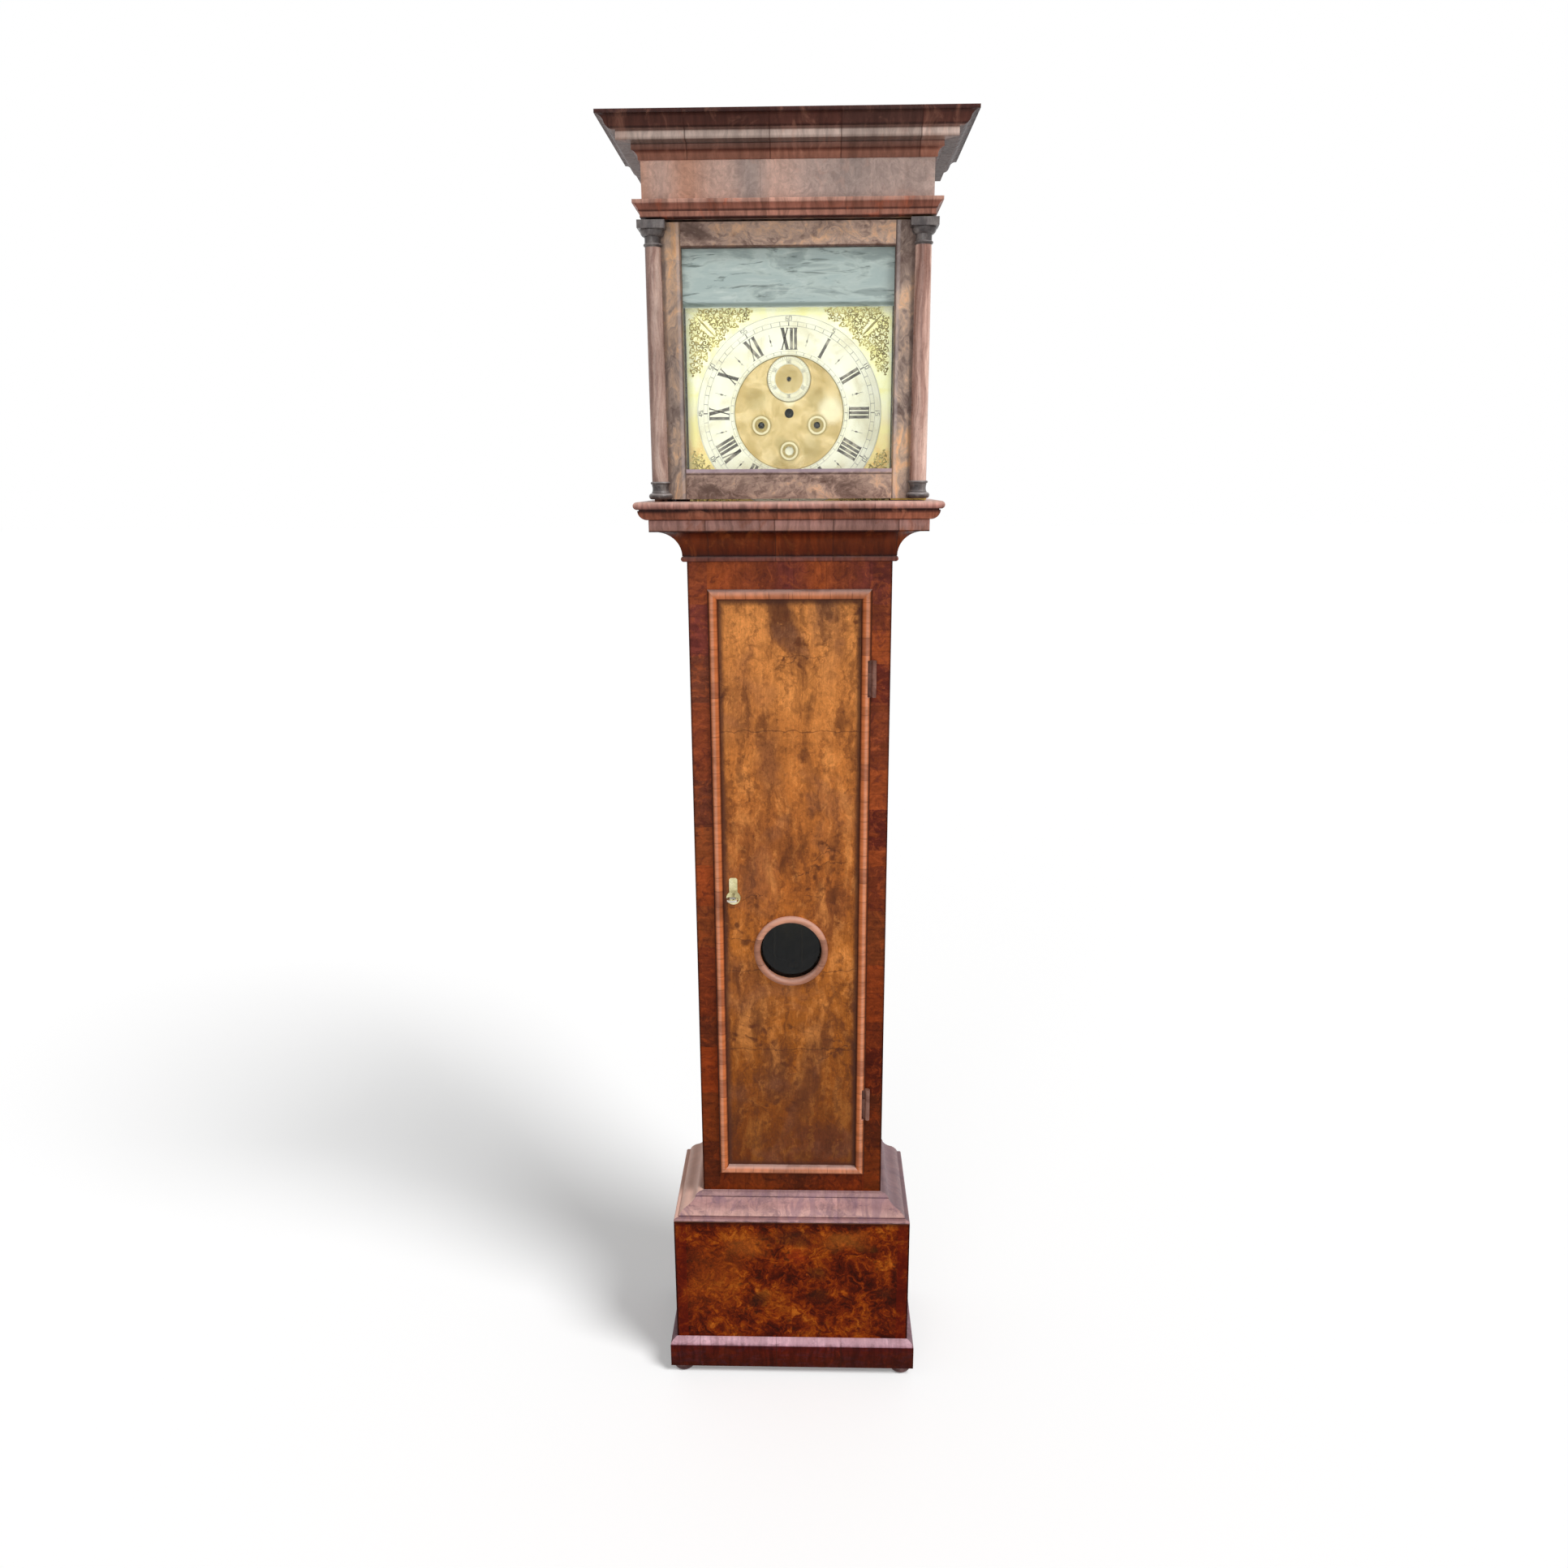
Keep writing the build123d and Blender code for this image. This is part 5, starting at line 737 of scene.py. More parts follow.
dress(basePanelWood(basePanel), "base_panels")
dress(boardWood("Foot walnut", {"stops": [(0, (40, 24, 24)), (0.5, (74, 50, 50)), (1, (110, 82, 80))],
                                "scale": 40, "paintedSheen": 0.6}), "feet")
dress(boardWood("Oak boards", {
    "stops": [(0, (70, 50, 34)), (0.4, (112, 84, 58)), (0.75, (142, 112, 80)), (1, (160, 130, 96))],
    "scale": 26, "stretch": 0.05, "boards": 0.135, "rough": 0.62, "bump": 0.5, "paintedSheen": 0.3}), "backboard")
dress(boardWood("Top boards", {
    "stops": [(0, (92, 70, 52)), (0.5, (134, 106, 80)), (1, (160, 134, 104))], "grain": "x",
    "scale": 26, "stretch": 0.05, "rough": 0.65, "paintedSheen": 0.5}), "hood_roof", "seatboard")
print("stage: base dressed")


# Metals

def metalWork(name, look):
    rough, metal = look.get("rough", 0.35), look.get("metal", 1)
    material, shader, place = newMaterial(name, 0.5, rough, metal)
    worn = useGroup(tarnish, place["vector"], look.get("scale", 1))
    colour = ramp(spread(worn["Cloud"], 0.28, 0.72), look["stops"])
    specks = times(worn["Speck"], look.get("speck", 0.4))
    colour = paint(colour, specks, look.get("speckColour", (70, 56, 34)))
    if "paintedHoleShade" in look:  # painted shade: the arbors' front ends and the plate round their pivots, seen through the dial's holes, are painted near black and made less metallic
        flat = combine(place["x"], 0, place["z"])
        holeShade = 0
        for pivotX, pivotZ, reach in look["pivots"]:
            holeShade = larger(holeShade, spread(distance(flat, (pivotX, 0, pivotZ)), 0.8 * reach, reach, 1, 0))
        holeShade = times(holeShade, below(place["y"], look["paintedHoleShade"]))
        colour = paint(colour, holeShade, (16, 12, 9))
        plug(minus(metal, holeShade), shader.inputs["Metallic"])
    plug(colour, shader.inputs["Base Color"])
    plug(spread(worn["Scratch"], 0.3, 0.7, rough - 0.08, rough + 0.12), shader.inputs["Roughness"])
    addRelief(shader, worn["Scratch"], look.get("bump", 0.15), 0.0003)
    return material


brass = {"stops": [(0, (150, 118, 60)), (0.5, (196, 164, 92)), (1, (222, 194, 124))], "rough": 0.34}
# pivots behind the dial's holes: x, z and how far the painted shade round them reaches
pivots = [(0, 1.710, 0.016), (0, 1.7598, 0.012), (-0.0428, 1.6924, 0.014), (0.0428, 1.6924, 0.014)]
metals = [  # name, look and the nodes that wear it
    ("Old brass", {**brass, "paintedHoleShade": 0.012, "pivots": pivots},
     ["movement_frame", "back_cock", "centre_wheel", "great_wheel", "third_wheel", "escape_wheel", "bell",
      "going_barrel", "strike_barrel", "pendulum_bob", "rating_nut", "going_pulley", "strike_pulley"]),
    ("Pivot brass", brass, ["hood_door_pivots"]),
    ("Pale brass", {"stops": [(0, (150, 138, 98)), (0.5, (206, 196, 146)), (1, (236, 230, 190))],
                    "rough": 0.32, "metal": 0.7}, ["escutcheon"]),
    ("Steel", {"stops": [(0, (92, 90, 88)), (0.5, (140, 138, 136)), (1, (176, 174, 170))], "rough": 0.36},
     ["anchor", "pendulum_rod", "bell_stand", "hammer", "lock_case", "lock_bolt"]),
    ("Polished key steel", {"stops": [(0, (130, 122, 112)), (0.5, (190, 184, 172)), (1, (232, 226, 214))],
                            "rough": 0.24}, ["trunk_key"]),
    ("Brown hinge brass", {"stops": [(0, (78, 44, 34)), (0.5, (108, 66, 52)), (1, (142, 100, 84))],
                           "rough": 0.55, "metal": 0.1, "speckColour": (60, 34, 28)},
     ["trunk_hinge_fixed_leaves", "trunk_hinge_door_leaves"]),
    ("Cast iron", {"stops": [(0, (38, 36, 34)), (0.5, (58, 55, 52)), (1, (82, 76, 70))], "rough": 0.62,
                   "bump": 0.5}, ["going_weight", "strike_weight"]),
    ("Silvered brass", {"stops": [(0, (232, 226, 192)), (0.4, (248, 246, 218)), (1, (254, 253, 232))],
                        "rough": 0.45, "speck": 0.2, "speckColour": (190, 184, 152), "metal": 0.22},
     ["chapter_ring", "seconds_ring", "date_disc"]),
]
for name, look, wearers in metals:
    dress(metalWork(name, look), *wearers)
ringWood = {"run": "z", "leaf": 0.05, "colour": (184, 130, 106), "flame": 0.3, "flameColour": (206, 150, 122),
            "tone": 0.15, "streak": 0.2, "joint": 0.4, "paintedSheen": 0.5, "paintedSheenColour": (206, 170, 158),
            "grime": 0.3}
dress(bandedWood("Lenticle ring walnut", ringWood), "lenticle_ring")

dialPlate = {
    "centre": (0, 1.710), "matted": 0.0835,
    "border": [(0, (252, 246, 168)), (0.5, (255, 254, 200)), (1, (255, 255, 222))],
    "mat": [(0, (190, 162, 98)), (0.5, (216, 190, 130)), (1, (238, 216, 160))],
    "olive": (140, 124, 66), "bright": (250, 244, 210), "gold": (240, 200, 112), "line": (88, 80, 46),
    "goldReach": (-0.08, 0.03), "secondsEdge": (0.0498, 0.0333),  # the latter's height and radius
    # winding holes and date opening: inner and outer radius of their collets, and where they are
    "collet": (0.0100, 0.0139),
    "eyes": [(-0.0428, -0.0176), (0.0428, -0.0176), (0, -0.0554)],
    "smudges": [(-0.050, 0.020, 0.022), (0.044, 0.020, 0.022), (0.034, -0.052, 0.020),
                (-0.012, -0.044, 0.014), (0, 0.0498, 0.030)],
    "pale": [(0.064, 0.004, 0.026), (0, 0.018, 0.012)],
}


def dialPlateBrass(look):
    material, shader, place = newMaterial("Dial brass", 0.4, 0.4, 0.4)
    cloud = spread(useGroup(tarnish, place["vector"], 1.4)["Cloud"], 0.28, 0.72)
    z = minus(place["z"], look["centre"][1])
    flat = combine(minus(place["x"], look["centre"][0]), 0, z)

    def away(pointX, pointZ):
        return distance(flat, (pointX, 0, pointZ))

    pits = spread(noise(place["vector"], 900, 2), 0.42, 0.6, 0.8, 1.08)
    inside = spread(away(0, 0), look["matted"] - 0.0004, look["matted"] + 0.0004, 1, 0)
    low = times(spread(z, *look["goldReach"], 1, 0), spread(cloud, 0, 0.8, 0.4, 1))
    border = paint(ramp(cloud, look["border"]), low, look["gold"])
    colour = paint(border, inside, shade(ramp(cloud, look["mat"]), pits))
    smoke = spread(noise(place["vector"], 22, 4, 0.6, 1), 0.52, 0.72, 0, 0.25)
    for smudgeX, smudgeZ, reach in look["smudges"]:
        smoke = larger(smoke, spread(away(smudgeX, smudgeZ), 0.4 * reach, reach, 0.35, 0))
    colour = paint(colour, times(smoke, inside), look["olive"])
    # paler spots on the matted centre
    for paleX, paleZ, reach in look["pale"]:
        paleSpot = spread(away(paleX, paleZ), 0.4 * reach, reach, 0.6, 0)
        colour = paint(colour, times(paleSpot, inside), look["bright"])
    for pointZ, radius in ((0, look["matted"]), look["secondsEdge"]):
        colour = paint(colour, spread(gap(away(0, pointZ), radius), 0.0003, 0.0013, 0.7, 0), look["line"])
    inner, outer = look["collet"]
    for pointX, pointZ in look["eyes"]:
        apart = away(pointX, pointZ)
        halo = spread(apart, outer, outer + 0.005, 0.45, 0)
        ring = spread(gap(apart, outer + 0.0006), 0, 0.0014, 0.9, 0)
        colour = paint(colour, larger(ring, halo), look["olive"])
        collet = times(spread(apart, outer - 0.0006, outer, 0.55, 0), spread(apart, inner, inner + 0.0008))
        colour = paint(colour, collet, look["bright"])
        colour = paint(colour, spread(apart, inner - 0.0004, inner + 0.0006, 0.5, 0), look["olive"])
    plug(colour, shader.inputs["Base Color"])
    addRelief(shader, times(pits, inside), 0.5, 0.0004)
    return material


dress(dialPlateBrass(dialPlate), "dial_plate")
print("stage: metals dressed")


# Glass

def showPart(material, shader, share):
    # The shader shows by its share; light and shadow rays go straight through, so what is behind stays lit.
    tree = material.node_tree
    path = addNode("ShaderNodeLightPath", {}, tree).outputs
    through = larger(path["Is Shadow Ray"], path["Is Diffuse Ray"])
    clear = addNode("ShaderNodeBsdfTransparent", {"Color": (1, 1, 1, 1)}, tree).outputs[0]
    shown = times(minus(1, through), share)
    mixed = addNode("ShaderNodeMixShader", {0: shown, 1: clear, 2: shader.outputs[0]})
    plug(mixed.outputs[0], tree.nodes["Material Output"].inputs["Surface"])


def glassPane(name, tint, ior, roughness):
    material, shader, place = newMaterial(name, 0.5, roughness)
    for label, value in (("Base Color", tint), ("Transmission Weight", 1), ("IOR", ior)):
        plug(value, shader.inputs[label])
    addRelief(shader, noise(place["vector"], 26, 2), 0.02, 0.002)
    showPart(material, shader, 1)
    return material


dress(glassPane("Old window glass", (0.98, 1, 0.98, 1), 1.15, 0), "hood_door_glass")
# The lenticle glass is tinted nearly black, a painted shade over the pendulum behind it
dress(glassPane("Lenticle glass with painted shade", (0.10, 0.12, 0.13, 1), 1.3, 0.06), "lenticle_glass")


# New pieces, worked out on grids

def meshPiece(name, vertices, faces, material, body, slotName, smooth=True):
    # Closed piece from its points and faces: doubles merged, normals turned outwards.
    mesh = bpy.data.meshes.new(name)
    mesh.from_pydata(np.asarray(vertices).reshape(-1, 3).tolist(), [], np.asarray(faces).tolist())
    shell = bmesh.new()
    shell.from_mesh(mesh)
    bmesh.ops.remove_doubles(shell, verts=shell.verts, dist=1e-6)
    bmesh.ops.dissolve_degenerate(shell, edges=shell.edges, dist=1e-7)
    bmesh.ops.recalc_face_normals(shell, faces=shell.faces)
    shell.to_mesh(mesh)
    shell.free()
    if smooth:
        mesh.polygons.foreach_set("use_smooth", np.ones(len(mesh.polygons), bool))
    piece = bpy.data.objects.new(name, mesh)
    bpy.context.scene.collection.objects.link(piece)
    mesh.materials.append(material)
    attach(piece, body)
    return piece


def gridFaces(rows, columns, wrap):
    # Quads of a grid of points; wrap closes it in the column direction.
    row, column = np.meshgrid(np.arange(rows - 1), np.arange(columns if wrap else columns - 1), indexing="ij")
    nextColumn = (column + 1) % columns
    corners = (row * columns + column, row * columns + nextColumn, (row + 1) * columns + nextColumn,
               (row + 1) * columns + column)
    return np.stack(corners, -1).reshape(-1, 4)


def sweep(path, reachAcross, reachUp, sides):
    # Half-round bar along a flat path: width and height at each point, drawn down to nothing at both ends.
    # Points are path + across * cos(a) * width + up * max(sin(a), -0.3) * height, a going round the bar.
    path = np.asarray(path)
    forward = np.gradient(path, axis=0)
    forward /= np.linalg.norm(forward, axis=1)[:, None]
    across = np.stack((-forward[:, 1], forward[:, 0]), 1)
    angle = np.arange(sides) / sides * 2 * np.pi
    aside = np.cos(angle)[None, :, None] * np.asarray(reachAcross)[:, None, None]
    flat = path[:, None, :] + across[:, None, :] * aside
    rise = np.maximum(np.sin(angle), -0.3)[None, :] * np.asarray(reachUp)[:, None]
    return np.concatenate((flat, rise[..., None]), -1), gridFaces(len(path), sides, True)


def joinParts(parts):
    # One list of points and faces from several.
    points, faces, start = [], [], 0
    for vertices, quads in parts:
        vertices = np.asarray(vertices).reshape(-1, 3)
        points.append(vertices)
        faces.append(np.asarray(quads) + start)
        start += len(vertices)
    return np.concatenate(points), np.concatenate(faces)


prismFaces = np.array([(0, 1, 2, 3), (7, 6, 5, 4), (0, 4, 5, 1), (1, 5, 6, 2), (2, 6, 7, 3), (3, 7, 4, 0)])


def prisms(quads, front, back):
    # Flat quads in x and z given a front and a back: eight points and six faces each.
    quads = np.asarray(quads)
    layers = [np.stack((quads[..., 0], np.full(quads.shape[:2], y), quads[..., 1]), -1)
              for y in (front, back)]
    points = np.concatenate(layers, 1)
    faces = prismFaces[None] + 8 * np.arange(len(quads))[:, None, None]
    return points.reshape(-1, 3), faces.reshape(-1, 4)


def flatRing(centre, inner, outer, front, back, count):
    # Thin ring standing on a dial: four circles of points, closed all round.
    angle = np.arange(count) / count * 2 * np.pi
    loops = []
    for radius, y in ((inner, front), (outer, front), (outer, back), (inner, back)):
        x, z = centre[0] + radius * np.sin(angle), centre[1] + radius * np.cos(angle)
        loops.append(np.stack((x, np.full(count, y), z), -1))
    grid = np.stack(loops + loops[:1], 0)
    return grid.reshape(-1, 3), gridFaces(5, count, True)


def aroundDial(centre, shape, angles):
    # Quads drawn about (0, radius) turned to each angle round a centre.
    shape = np.asarray(shape)[None]
    angles = np.asarray(angles)[:, None, None]
    x = shape[..., 0] * np.cos(angles) + shape[..., 1] * np.sin(angles)
    z = shape[..., 1] * np.cos(angles) - shape[..., 0] * np.sin(angles)
    return (np.stack((x, z), -1) + np.asarray(centre)).reshape(-1, 4, 2)


# Dial markings: engraved and waxed numerals, rings and strokes

dialMarks = {
    "front": -0.0305, "secondsFront": -0.02925, "proud": 0.00012, "sunk": 0.0001,
    "numeralFoot": 0.0915, "numeralHeight": 0.0310,
    "numerals": ["XII", "I", "II", "III", "IIII", "V", "VI", "VII", "VIII", "IX", "X", "XI"],
    "rings": [(0.0852, 0.0855), (0.0893, 0.0896), (0.1248, 0.1252), (0.1310, 0.1313), (0.1398, 0.1402)],
    # strokes: first degree, step in degrees, half width, inner and outer radius
    "strokes": [(0, 6, 0.00032, 0.1250, 0.1311), (0, 30, 0.00075, 0.1250, 0.1311),
                (0, 7.5, 0.0003, 0.0855, 0.0893), (15, 30, 0.00022, 0.0985, 0.1165),
                (15, 30, 0.0018, 0.1003, 0.1007)],
    "secondStroke": (0.0002, 0.0278, 0.0318),
    "diamond": [(-0.0014, 0.1065), (0, 0.1035), (0.0014, 0.1065), (0, 0.1105)],
    "secondsCentre": (0, 1.7598), "secondsRings": [(0.0218, 0.0221), (0.0276, 0.0278), (0.0318, 0.0321)],
    "minuteFigures": {"size": 0.0068, "radius": 0.1354}, "secondFigures": {"size": 0.0044, "radius": 0.0248},
}
letterStrokes = {  # advance, then (foot x, foot y, head x, head y, width), in numeral heights
    "I": (0.20, [(0.10, 0, 0.10, 1, 0.14), (0.10, 0, 0.10, 0.03, 0.20), (0.10, 0.97, 0.10, 1, 0.20)]),
    "V": (0.44, [(0.23, 0, 0.11, 1, 0.16), (0.23, 0, 0.36, 1, 0.06), (0.11, 0.97, 0.11, 1, 0.21),
                 (0.36, 0.97, 0.36, 1, 0.14)]),
    "X": (0.46, [(0.36, 0, 0.11, 1, 0.16), (0.09, 0, 0.37, 1, 0.06), (0.11, 0.97, 0.11, 1, 0.21),
                 (0.37, 0.97, 0.37, 1, 0.14), (0.09, 0, 0.09, 0.03, 0.14), (0.36, 0, 0.36, 0.03, 0.21)]),
}


def numeralQuads(text, look):
    # Quads of one numeral about (0, foot radius), its strokes cut level at head and foot.
    strokes, start = [], 0
    for letter in text:
        advance, own = letterStrokes[letter]
        strokes += [(x0 + start, y0, x1 + start, y1, width) for x0, y0, x1, y1, width in own]
        start += advance
    x0, y0, x1, y1, width = np.array(strokes).T
    half = width / 2
    corners = np.array([(x0 - half, y0), (x0 + half, y0), (x1 + half, y1), (x1 - half, y1)])
    corners = corners.transpose(2, 0, 1)
    corners[..., 0] -= start / 2
    corners *= look["numeralHeight"]
    corners[..., 1] += look["numeralFoot"]
    return corners


def strokeQuad(halfWidth, inner, outer):
    return [[(-halfWidth, inner), (halfWidth, inner), (halfWidth, outer), (-halfWidth, outer)]]


barStrokes = {  # bars of each small figure, as (foot x, foot y, head x, head y) in a box 0.6 wide and 1 high
    "0": [(0, 0, 0, 1), (0.5, 0, 0.5, 1), (0, 0.93, 0.5, 0.93), (0, 0.07, 0.5, 0.07)],
    "1": [(0.25, 0, 0.25, 1)],
    "2": [(0, 0.93, 0.5, 0.93), (0.06, 0, 0.5, 1), (0, 0.07, 0.5, 0.07)],
    "3": [(0, 0.93, 0.5, 0.93), (0.5, 0, 0.5, 1), (0.1, 0.52, 0.5, 0.52), (0, 0.07, 0.5, 0.07)],
    "4": [(0.4, 0, 0.4, 1), (0, 0.35, 0.4, 1), (0, 0.35, 0.55, 0.35)],
    "5": [(0, 0.93, 0.5, 0.93), (0, 0.5, 0, 1), (0, 0.52, 0.5, 0.52), (0.5, 0, 0.5, 0.55),
          (0, 0.07, 0.5, 0.07)],
    "6": [(0, 0.93, 0.5, 0.93), (0, 0, 0, 1), (0, 0.52, 0.5, 0.52), (0.5, 0, 0.5, 0.55),
          (0, 0.07, 0.5, 0.07)],
}


def figureQuads(text, size, radius):
    # Quads of a number about (0, radius), its bars drawn with a pen of one thickness, in figure heights.
    quads = []
    width, thick = 0.72, 0.11
    for index, letter in enumerate(text):
        left = (index - len(text) / 2) * width + 0.1
        for x0, y0, x1, y1 in barStrokes[letter]:
            if abs(x1 - x0) > abs(y1 - y0):
                half = thick / 2
                quads.append([(x0, y0 - half), (x1, y1 - half), (x1, y1 + half), (x0, y0 + half)])
            else:
                half = thick * 0.62
                quads.append([(x0 - half, y0), (x0 + half, y0), (x1 + half, y1), (x1 - half, y1)])
            quads[-1] = [(x + left, y - 0.5) for x, y in quads[-1]]
    quads = np.array(quads) * size
    quads[..., 1] += radius
    return quads


def numberRing(centre, look, step):
    # Numbers from step to 60 set round a ring, each at its own sixtieth of a turn.
    parts = []
    for number in range(step, 61, step):
        shape = figureQuads(str(number), look["size"], look["radius"])
        parts.append(aroundDial(centre, shape, [math.radians(6 * number)]))
    return np.concatenate(parts)


def buildDialMarks(look):
    centre, small = dialPlate["centre"], look["secondsCentre"]
    quads = [aroundDial(centre, numeralQuads(text, look), [math.radians(30 * hour)])
             for hour, text in enumerate(look["numerals"])]
    quads += [aroundDial(centre, strokeQuad(*stroke), np.radians(np.arange(first, 360, step)))
              for first, step, *stroke in look["strokes"]]
    halfHours = np.radians(np.arange(15, 360, 30))
    quads += [aroundDial(centre, [look["diamond"]], halfHours), numberRing(centre, look["minuteFigures"], 5)]
    marks = [aroundDial(small, strokeQuad(*look["secondStroke"]), np.radians(np.arange(0, 360, 6))),
             numberRing(small, look["secondFigures"], 10)]
    parts = []
    for middle, face, shapes, rings, count in (
            (centre, look["front"], quads, look["rings"], 180),
            (small, look["secondsFront"], marks, look["secondsRings"], 96)):
        front, back = face - look["proud"], face + look["sunk"]
        parts.append(prisms(np.concatenate(shapes), front, back))
        parts += [flatRing(middle, inner, outer, front, back, count) for inner, outer in rings]
    return joinParts(parts)


def rampedMaterial(look):
    # One row of colours over one noise.
    material, shader, place = newMaterial(look["name"], look["specular"], look["rough"])
    pattern = spread(noise(place["vector"], *look["noise"]), *look["reach"])
    plug(ramp(pattern, look["stops"]), shader.inputs["Base Color"])
    return material


wax = {"name": "Black wax", "rough": 0.6, "specular": 0.2, "noise": (60, 5, 0.6), "reach": (0.35, 0.65),
       "stops": [(0, (98, 94, 86)), (0.6, (128, 124, 114)), (1, (186, 180, 160))]}
meshPiece("dial_marks", *buildDialMarks(dialMarks), rampedMaterial(wax), "case", "silvered_brass",
          smooth=False)


# Spandrels: pierced scrolls of leaves, one corner mirrored into four

spandrel = {"front": -0.028, "height": 0.0022, "low": 0.0560, "high": 0.1508, "ring": 0.1418,
            "pitch": 0.0104, "turns": 1.4, "width": 0.0010, "leaf": 0.0015, "spine": (0.1090, 0.1440, 0.0016)}


def buildSpandrels(look):
    # Scrolls in staggered rows over half a corner, mirrored about its diagonal and into the four corners.
    # A scroll is a spiral: its radius grows evenly with the angle, and its tail swings out to the next one.
    pitch, height = look["pitch"], look["height"]
    row, column = np.meshgrid(np.arange(8), np.arange(10), indexing="ij")
    eyeX = look["low"] + pitch * (0.45 + column + 0.5 * (row % 2))
    eyeZ = look["high"] - pitch * (0.5 + 0.88 * row)
    clear = np.minimum(np.hypot(eyeX, eyeZ) - look["ring"], (eyeZ - eyeX) / math.sqrt(2)) > 0.42 * pitch
    clear &= look["high"] - eyeZ < 0.75 * pitch + 0.8 * (eyeX - look["low"])  # the leg narrows to its end
    t = np.linspace(0, 1, 34)
    taper = np.clip(np.minimum(t / 0.08, (1 - t) / 0.4), 0, 1) ** 0.6
    s = np.linspace(0, 1, 10)
    swell = np.sin(np.pi * s ** 0.8) ** 0.8
    swell[0] = swell[-1] = 0
    parts = []
    for index, (x, z) in enumerate(zip(eyeX[clear], eyeZ[clear])):
        hand = 1 if index % 2 else -1
        start = 2.4 * index
        angle = start + hand * t * look["turns"] * 2 * np.pi
        radius = pitch * (0.08 + 0.38 * t + 0.25 * np.clip(t - 0.8, 0, 1))
        path = np.stack((x + radius * np.cos(angle), z + radius * np.sin(angle)), -1)
        parts.append(sweep(path, look["width"] * taper, height * (0.5 + 0.4 * t) * taper, 8))
        for turn in (0.9, 2.9, 4.9):  # three leaves on the back of each scroll
            way = start + hand * turn
            heading = way + hand * (0.9 + 0.5 * s)
            foot = np.array((x + 0.40 * pitch * math.cos(way), z + 0.40 * pitch * math.sin(way)))
            path = foot + 0.42 * pitch * s[:, None] * np.stack((np.cos(heading), np.sin(heading)), -1)
            parts.append(sweep(path, look["leaf"] * swell, height * 0.8 * swell, 8))
    points, faces = joinParts(parts)
    flipped = points[:, [1, 0, 2]]
    start, end, width = look["spine"]
    path = np.stack([start + (end - start) * s] * 2, -1)
    spine = sweep(path, width * swell, height * swell, 8)
    points, faces = joinParts([(points, faces), (flipped, faces), spine])
    flat = np.minimum(points[:, :2], look["high"])
    flat = flat * np.maximum(look["ring"] / np.linalg.norm(flat, axis=1), 1)[:, None]
    quarters = []
    for signX, signZ in ((1, 1), (-1, 1), (-1, -1), (1, -1)):
        placed = flat * (signX, signZ) + dialPlate["centre"]
        quarters.append((np.stack((placed[:, 0], look["front"] - points[:, 2], placed[:, 1]), -1), faces))
    return joinParts(quarters)


castLook = {"stops": [(0, (142, 128, 72)), (0.45, (200, 184, 112)), (1, (250, 240, 166))],
            "rough": 0.4, "speckColour": (120, 110, 62), "scale": 2.4, "metal": 0.1, "bump": 0.4}
castSpandrels = metalWork("Cast spandrel brass", castLook)
scrolls = meshPiece("spandrel_scrolls", *buildSpandrels(spandrel), castSpandrels, "case", "brass")
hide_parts("spandrels")


# Weight lines: laid gut, two strands twisted round each other

weightLine = {"lay": 0.012, "swell": 0.14, "rings": 480, "sides": 10}  # lay: height of one full twist


def buildLine(name, look):
    # Twisted strand: a round section whose radius swells twice a turn, turning as it goes up.
    # Radius at angle a and height z is thick * (1 - swell + swell * cos(2 * (a + 2 pi z / lay))).
    rings, sides, swell = look["rings"], look["sides"], look["swell"]
    low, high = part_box(name)
    thick = (high.y - low.y) / 2
    parts = []
    z = np.linspace(low.z, high.z, rings)
    for x in (low.x + thick, high.x - thick):
        angle = np.arange(sides) / sides * 2 * np.pi
        twist = angle[None, :] + z[:, None] * 2 * np.pi / look["lay"]
        radius = thick * (1 - swell + swell * np.cos(2 * twist))
        grid = np.stack((x + radius * np.cos(angle), (low.y + high.y) / 2 + radius * np.sin(angle),
                         np.repeat(z[:, None], sides, 1)), -1)
        caps = [np.repeat([[[x, (low.y + high.y) / 2, end]]], sides, 1) for end in (low.z, high.z)]
        parts.append((np.concatenate((caps[0], grid, caps[1])), gridFaces(rings + 2, sides, True)))
    return joinParts(parts)


gut = {"name": "Gut line", "rough": 0.55, "specular": 0.3, "noise": (700, 3), "reach": (0.3, 0.7),
       "stops": [(0, (120, 92, 58)), (1, (186, 156, 110))]}
gutMaterial = rampedMaterial(gut)
dress(gutMaterial, "line_ends")
for name in ("going", "strike"):
    piece = meshPiece(f"{name}_gut", *buildLine(f"{name}_line", weightLine), gutMaterial, "case", "gut")
    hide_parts(f"{name}_line")
    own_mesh(piece)


# Bloom on the old pane: a thin hazy film, partly dust and partly a painted reflection, with drawn-out ripples
# at the top

paneBloomAndReflection = {"halfWidth": 0.1556, "bottom": 1.6280, "top": 1.9376, "front": -0.0597, "thickness": 0.0001,
             "filmFrom": 1.856, "rim": (0.146, 0.156), "squares": 24,
             "shades": [(0, (158, 172, 168)), (0.5, (190, 204, 198)), (1, (178, 194, 190))],
             "dark": (98, 110, 106), "light": (212, 222, 216), "foot": (104, 118, 108)}


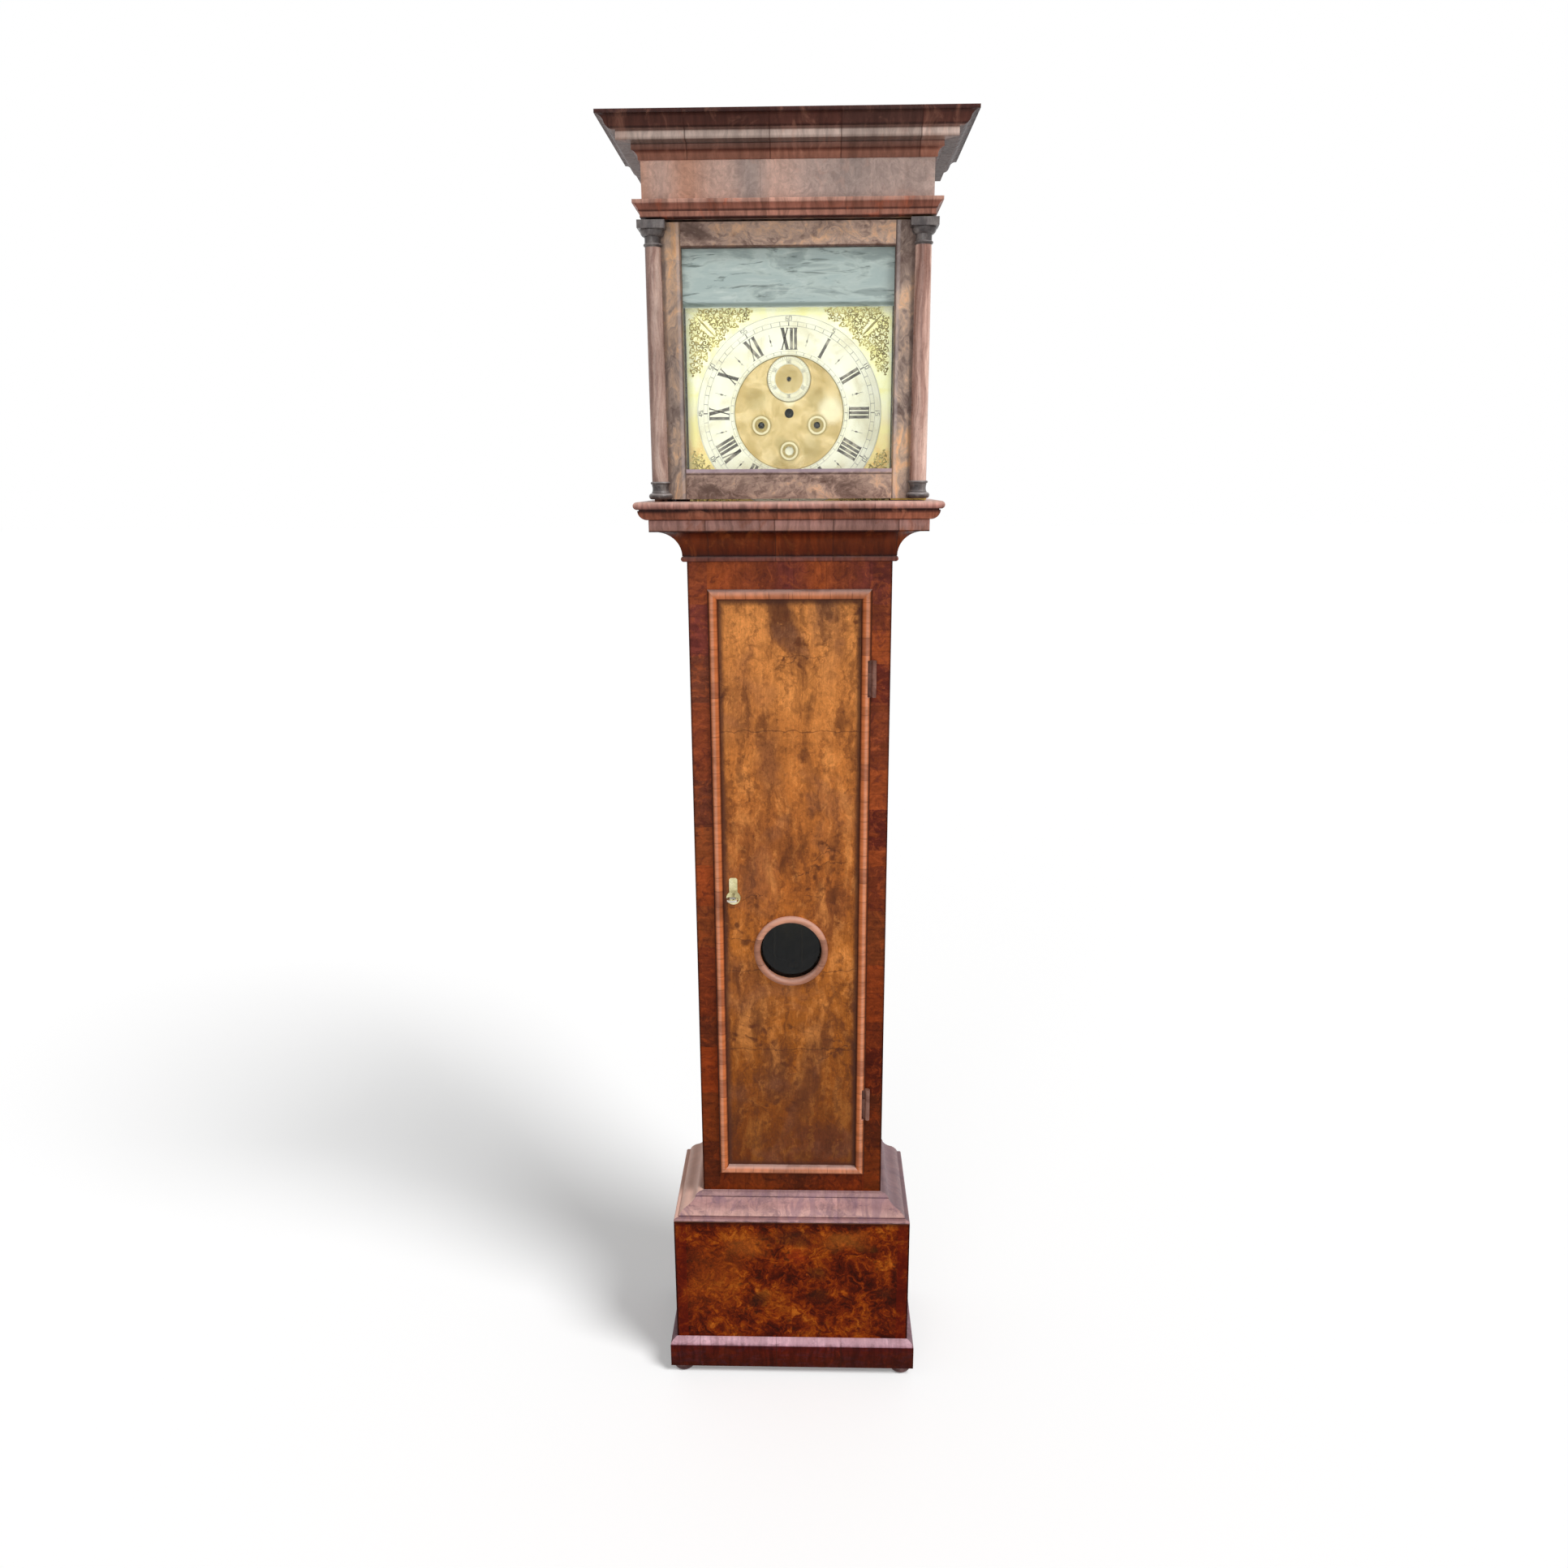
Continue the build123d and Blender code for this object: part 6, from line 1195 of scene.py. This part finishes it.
def bloomFilm(look):
    material, shader, place = newMaterial("Pane bloom and painted reflection", 0.1, 0.5)
    # the ripples are long soft strokes of noise drawn out along x
    wave = noise(scaled(place["vector"], (1, 1, 3.2)), 12, 4, 0.6, 0.5)
    strokes = noise(scaled(place["vector"], (1, 1, 7.5)), 17, 4, 0.62, 0.6)
    start = look["filmFrom"]
    colour = ramp(spread(wave, 0.38, 0.62), look["shades"])
    colour = paint(colour, spread(strokes, 0.54, 0.68, 0, 0.75), look["dark"])
    colour = paint(colour, spread(strokes, 0.3, 0.42, 0.5, 0), look["light"])
    colour = paint(colour, spread(gap(place["z"], start + 0.005), 0.001, 0.005, 0.7, 0), look["foot"])
    plug(colour, shader.inputs["Base Color"])
    # the film shows most above the dial and along the sides, where its painted reflection lies
    high = spread(place["z"], start, start + 0.003, 0.015, 0.8)
    rim = spread(absolute(place["x"]), *look["rim"], 0, 0.12)
    showPart(material, shader, larger(high, plus(rim, 0.01)))
    return material


def buildFilm(look):
    # Flat film on the pane, drawn as a closed sheet of small squares.
    count = look["squares"] + 1
    x = np.linspace(-look["halfWidth"], look["halfWidth"], count)
    z = np.linspace(look["bottom"], look["top"], count)
    gridX, gridZ = np.meshgrid(x, z, indexing="ij")
    sheets = [np.stack((gridX, np.full(gridX.shape, look["front"] + depth), gridZ), -1)
              for depth in (0, look["thickness"])]
    quads = gridFaces(count, count, False)
    index = np.arange(count * count).reshape(count, count)
    rim = np.concatenate((index[0, :-1], index[:-1, -1], index[-1, :0:-1], index[:0:-1, 0]))
    after = np.roll(rim, -1)
    band = np.stack((rim, after, after + index.size, rim + index.size), -1)
    return np.concatenate(sheets).reshape(-1, 3), np.concatenate((quads, quads + index.size, band))


meshPiece("pane_bloom", *buildFilm(paneBloomAndReflection), bloomFilm(paneBloomAndReflection), "hood_door", "glass", smooth=False)
print("stage: pieces added")


# Floor, light and camera

studio = {"sky": 0.30, "floorColour": 0.88, "floorGlow": 0.21, "floorReach": 40,
          "suns": {  # strength, width in degrees, where it comes from
              "window": (2.35, 22, (0.52, -0.376, 0.766)),
              "reflector": (0.8, 40, (-0.25, -0.96, 0.10)),
          }}


def seenDirectly(tree):
    # 1 for what the camera sees, straight or in a reflection or through glass, and 0 for what only lights.
    path = addNode("ShaderNodeLightPath", {}, tree).outputs
    return larger(larger(path["Is Camera Ray"], path["Is Glossy Ray"]), path["Is Transmission Ray"])


def buildStudio(look):
    white = (1, 1, 1, 1)
    world = bpy.data.worlds.new("Studio")
    bpy.context.scene.world = world
    world.use_nodes = True
    tree = world.node_tree
    backdrop = paint((look["sky"],) * 3 + (1,), seenDirectly(tree), white)
    plug(backdrop, tree.nodes["Background"].inputs["Color"])
    reach = look["floorReach"]
    mesh = bpy.data.meshes.new("floor")
    mesh.from_pydata([(-reach, -reach, 0), (reach, -reach, 0), (reach, reach, 0), (-reach, reach, 0)], [],
                     [(0, 1, 2, 3)])
    floor = bpy.data.objects.new("floor", mesh)
    bpy.context.scene.collection.objects.link(floor)
    material, shader, place = newMaterial("Studio floor", 0, 1)
    plug((look["floorColour"],) * 3 + (1,), shader.inputs["Base Color"])
    plug(white, shader.inputs["Emission Color"])
    plug(times(seenDirectly(material.node_tree), look["floorGlow"]), shader.inputs["Emission Strength"])
    mesh.materials.append(material)
    for name, (strength, width, source) in look["suns"].items():
        light = bpy.data.lights.new(name, "SUN")
        light.energy = strength
        light.angle = math.radians(width)
        lamp = bpy.data.objects.new(name, light)
        lamp.rotation_mode = "QUATERNION"
        lamp.rotation_quaternion = Vector(source).to_track_quat("Z", "Y")
        bpy.context.scene.collection.objects.link(lamp)


viewpoint = {"place": (0.0373, -1.8534, 1.6106), "pitch": math.radians(15.01), "yaw": math.radians(-1.51),
             "roll": math.radians(-0.303), "focalPixels": 1395, "imagePixels": 1932}


def buildCamera(look):
    data = bpy.data.cameras.new("camera")
    data.sensor_width = 36
    data.lens = look["focalPixels"] / look["imagePixels"] * data.sensor_width
    data.clip_end = 200
    camera = bpy.data.objects.new("camera", data)
    turn = (Matrix.Rotation(-look["yaw"], 4, "Z") @ Matrix.Rotation(math.pi / 2 - look["pitch"], 4, "X")
            @ Matrix.Rotation(look["roll"], 4, "Z"))
    camera.matrix_world = Matrix.Translation(look["place"]) @ turn
    bpy.context.scene.collection.objects.link(camera)
    bpy.context.scene.camera = camera


buildStudio(studio)
buildCamera(viewpoint)
bpy.context.scene.view_settings.view_transform = "Standard"
print("stage: studio ready")
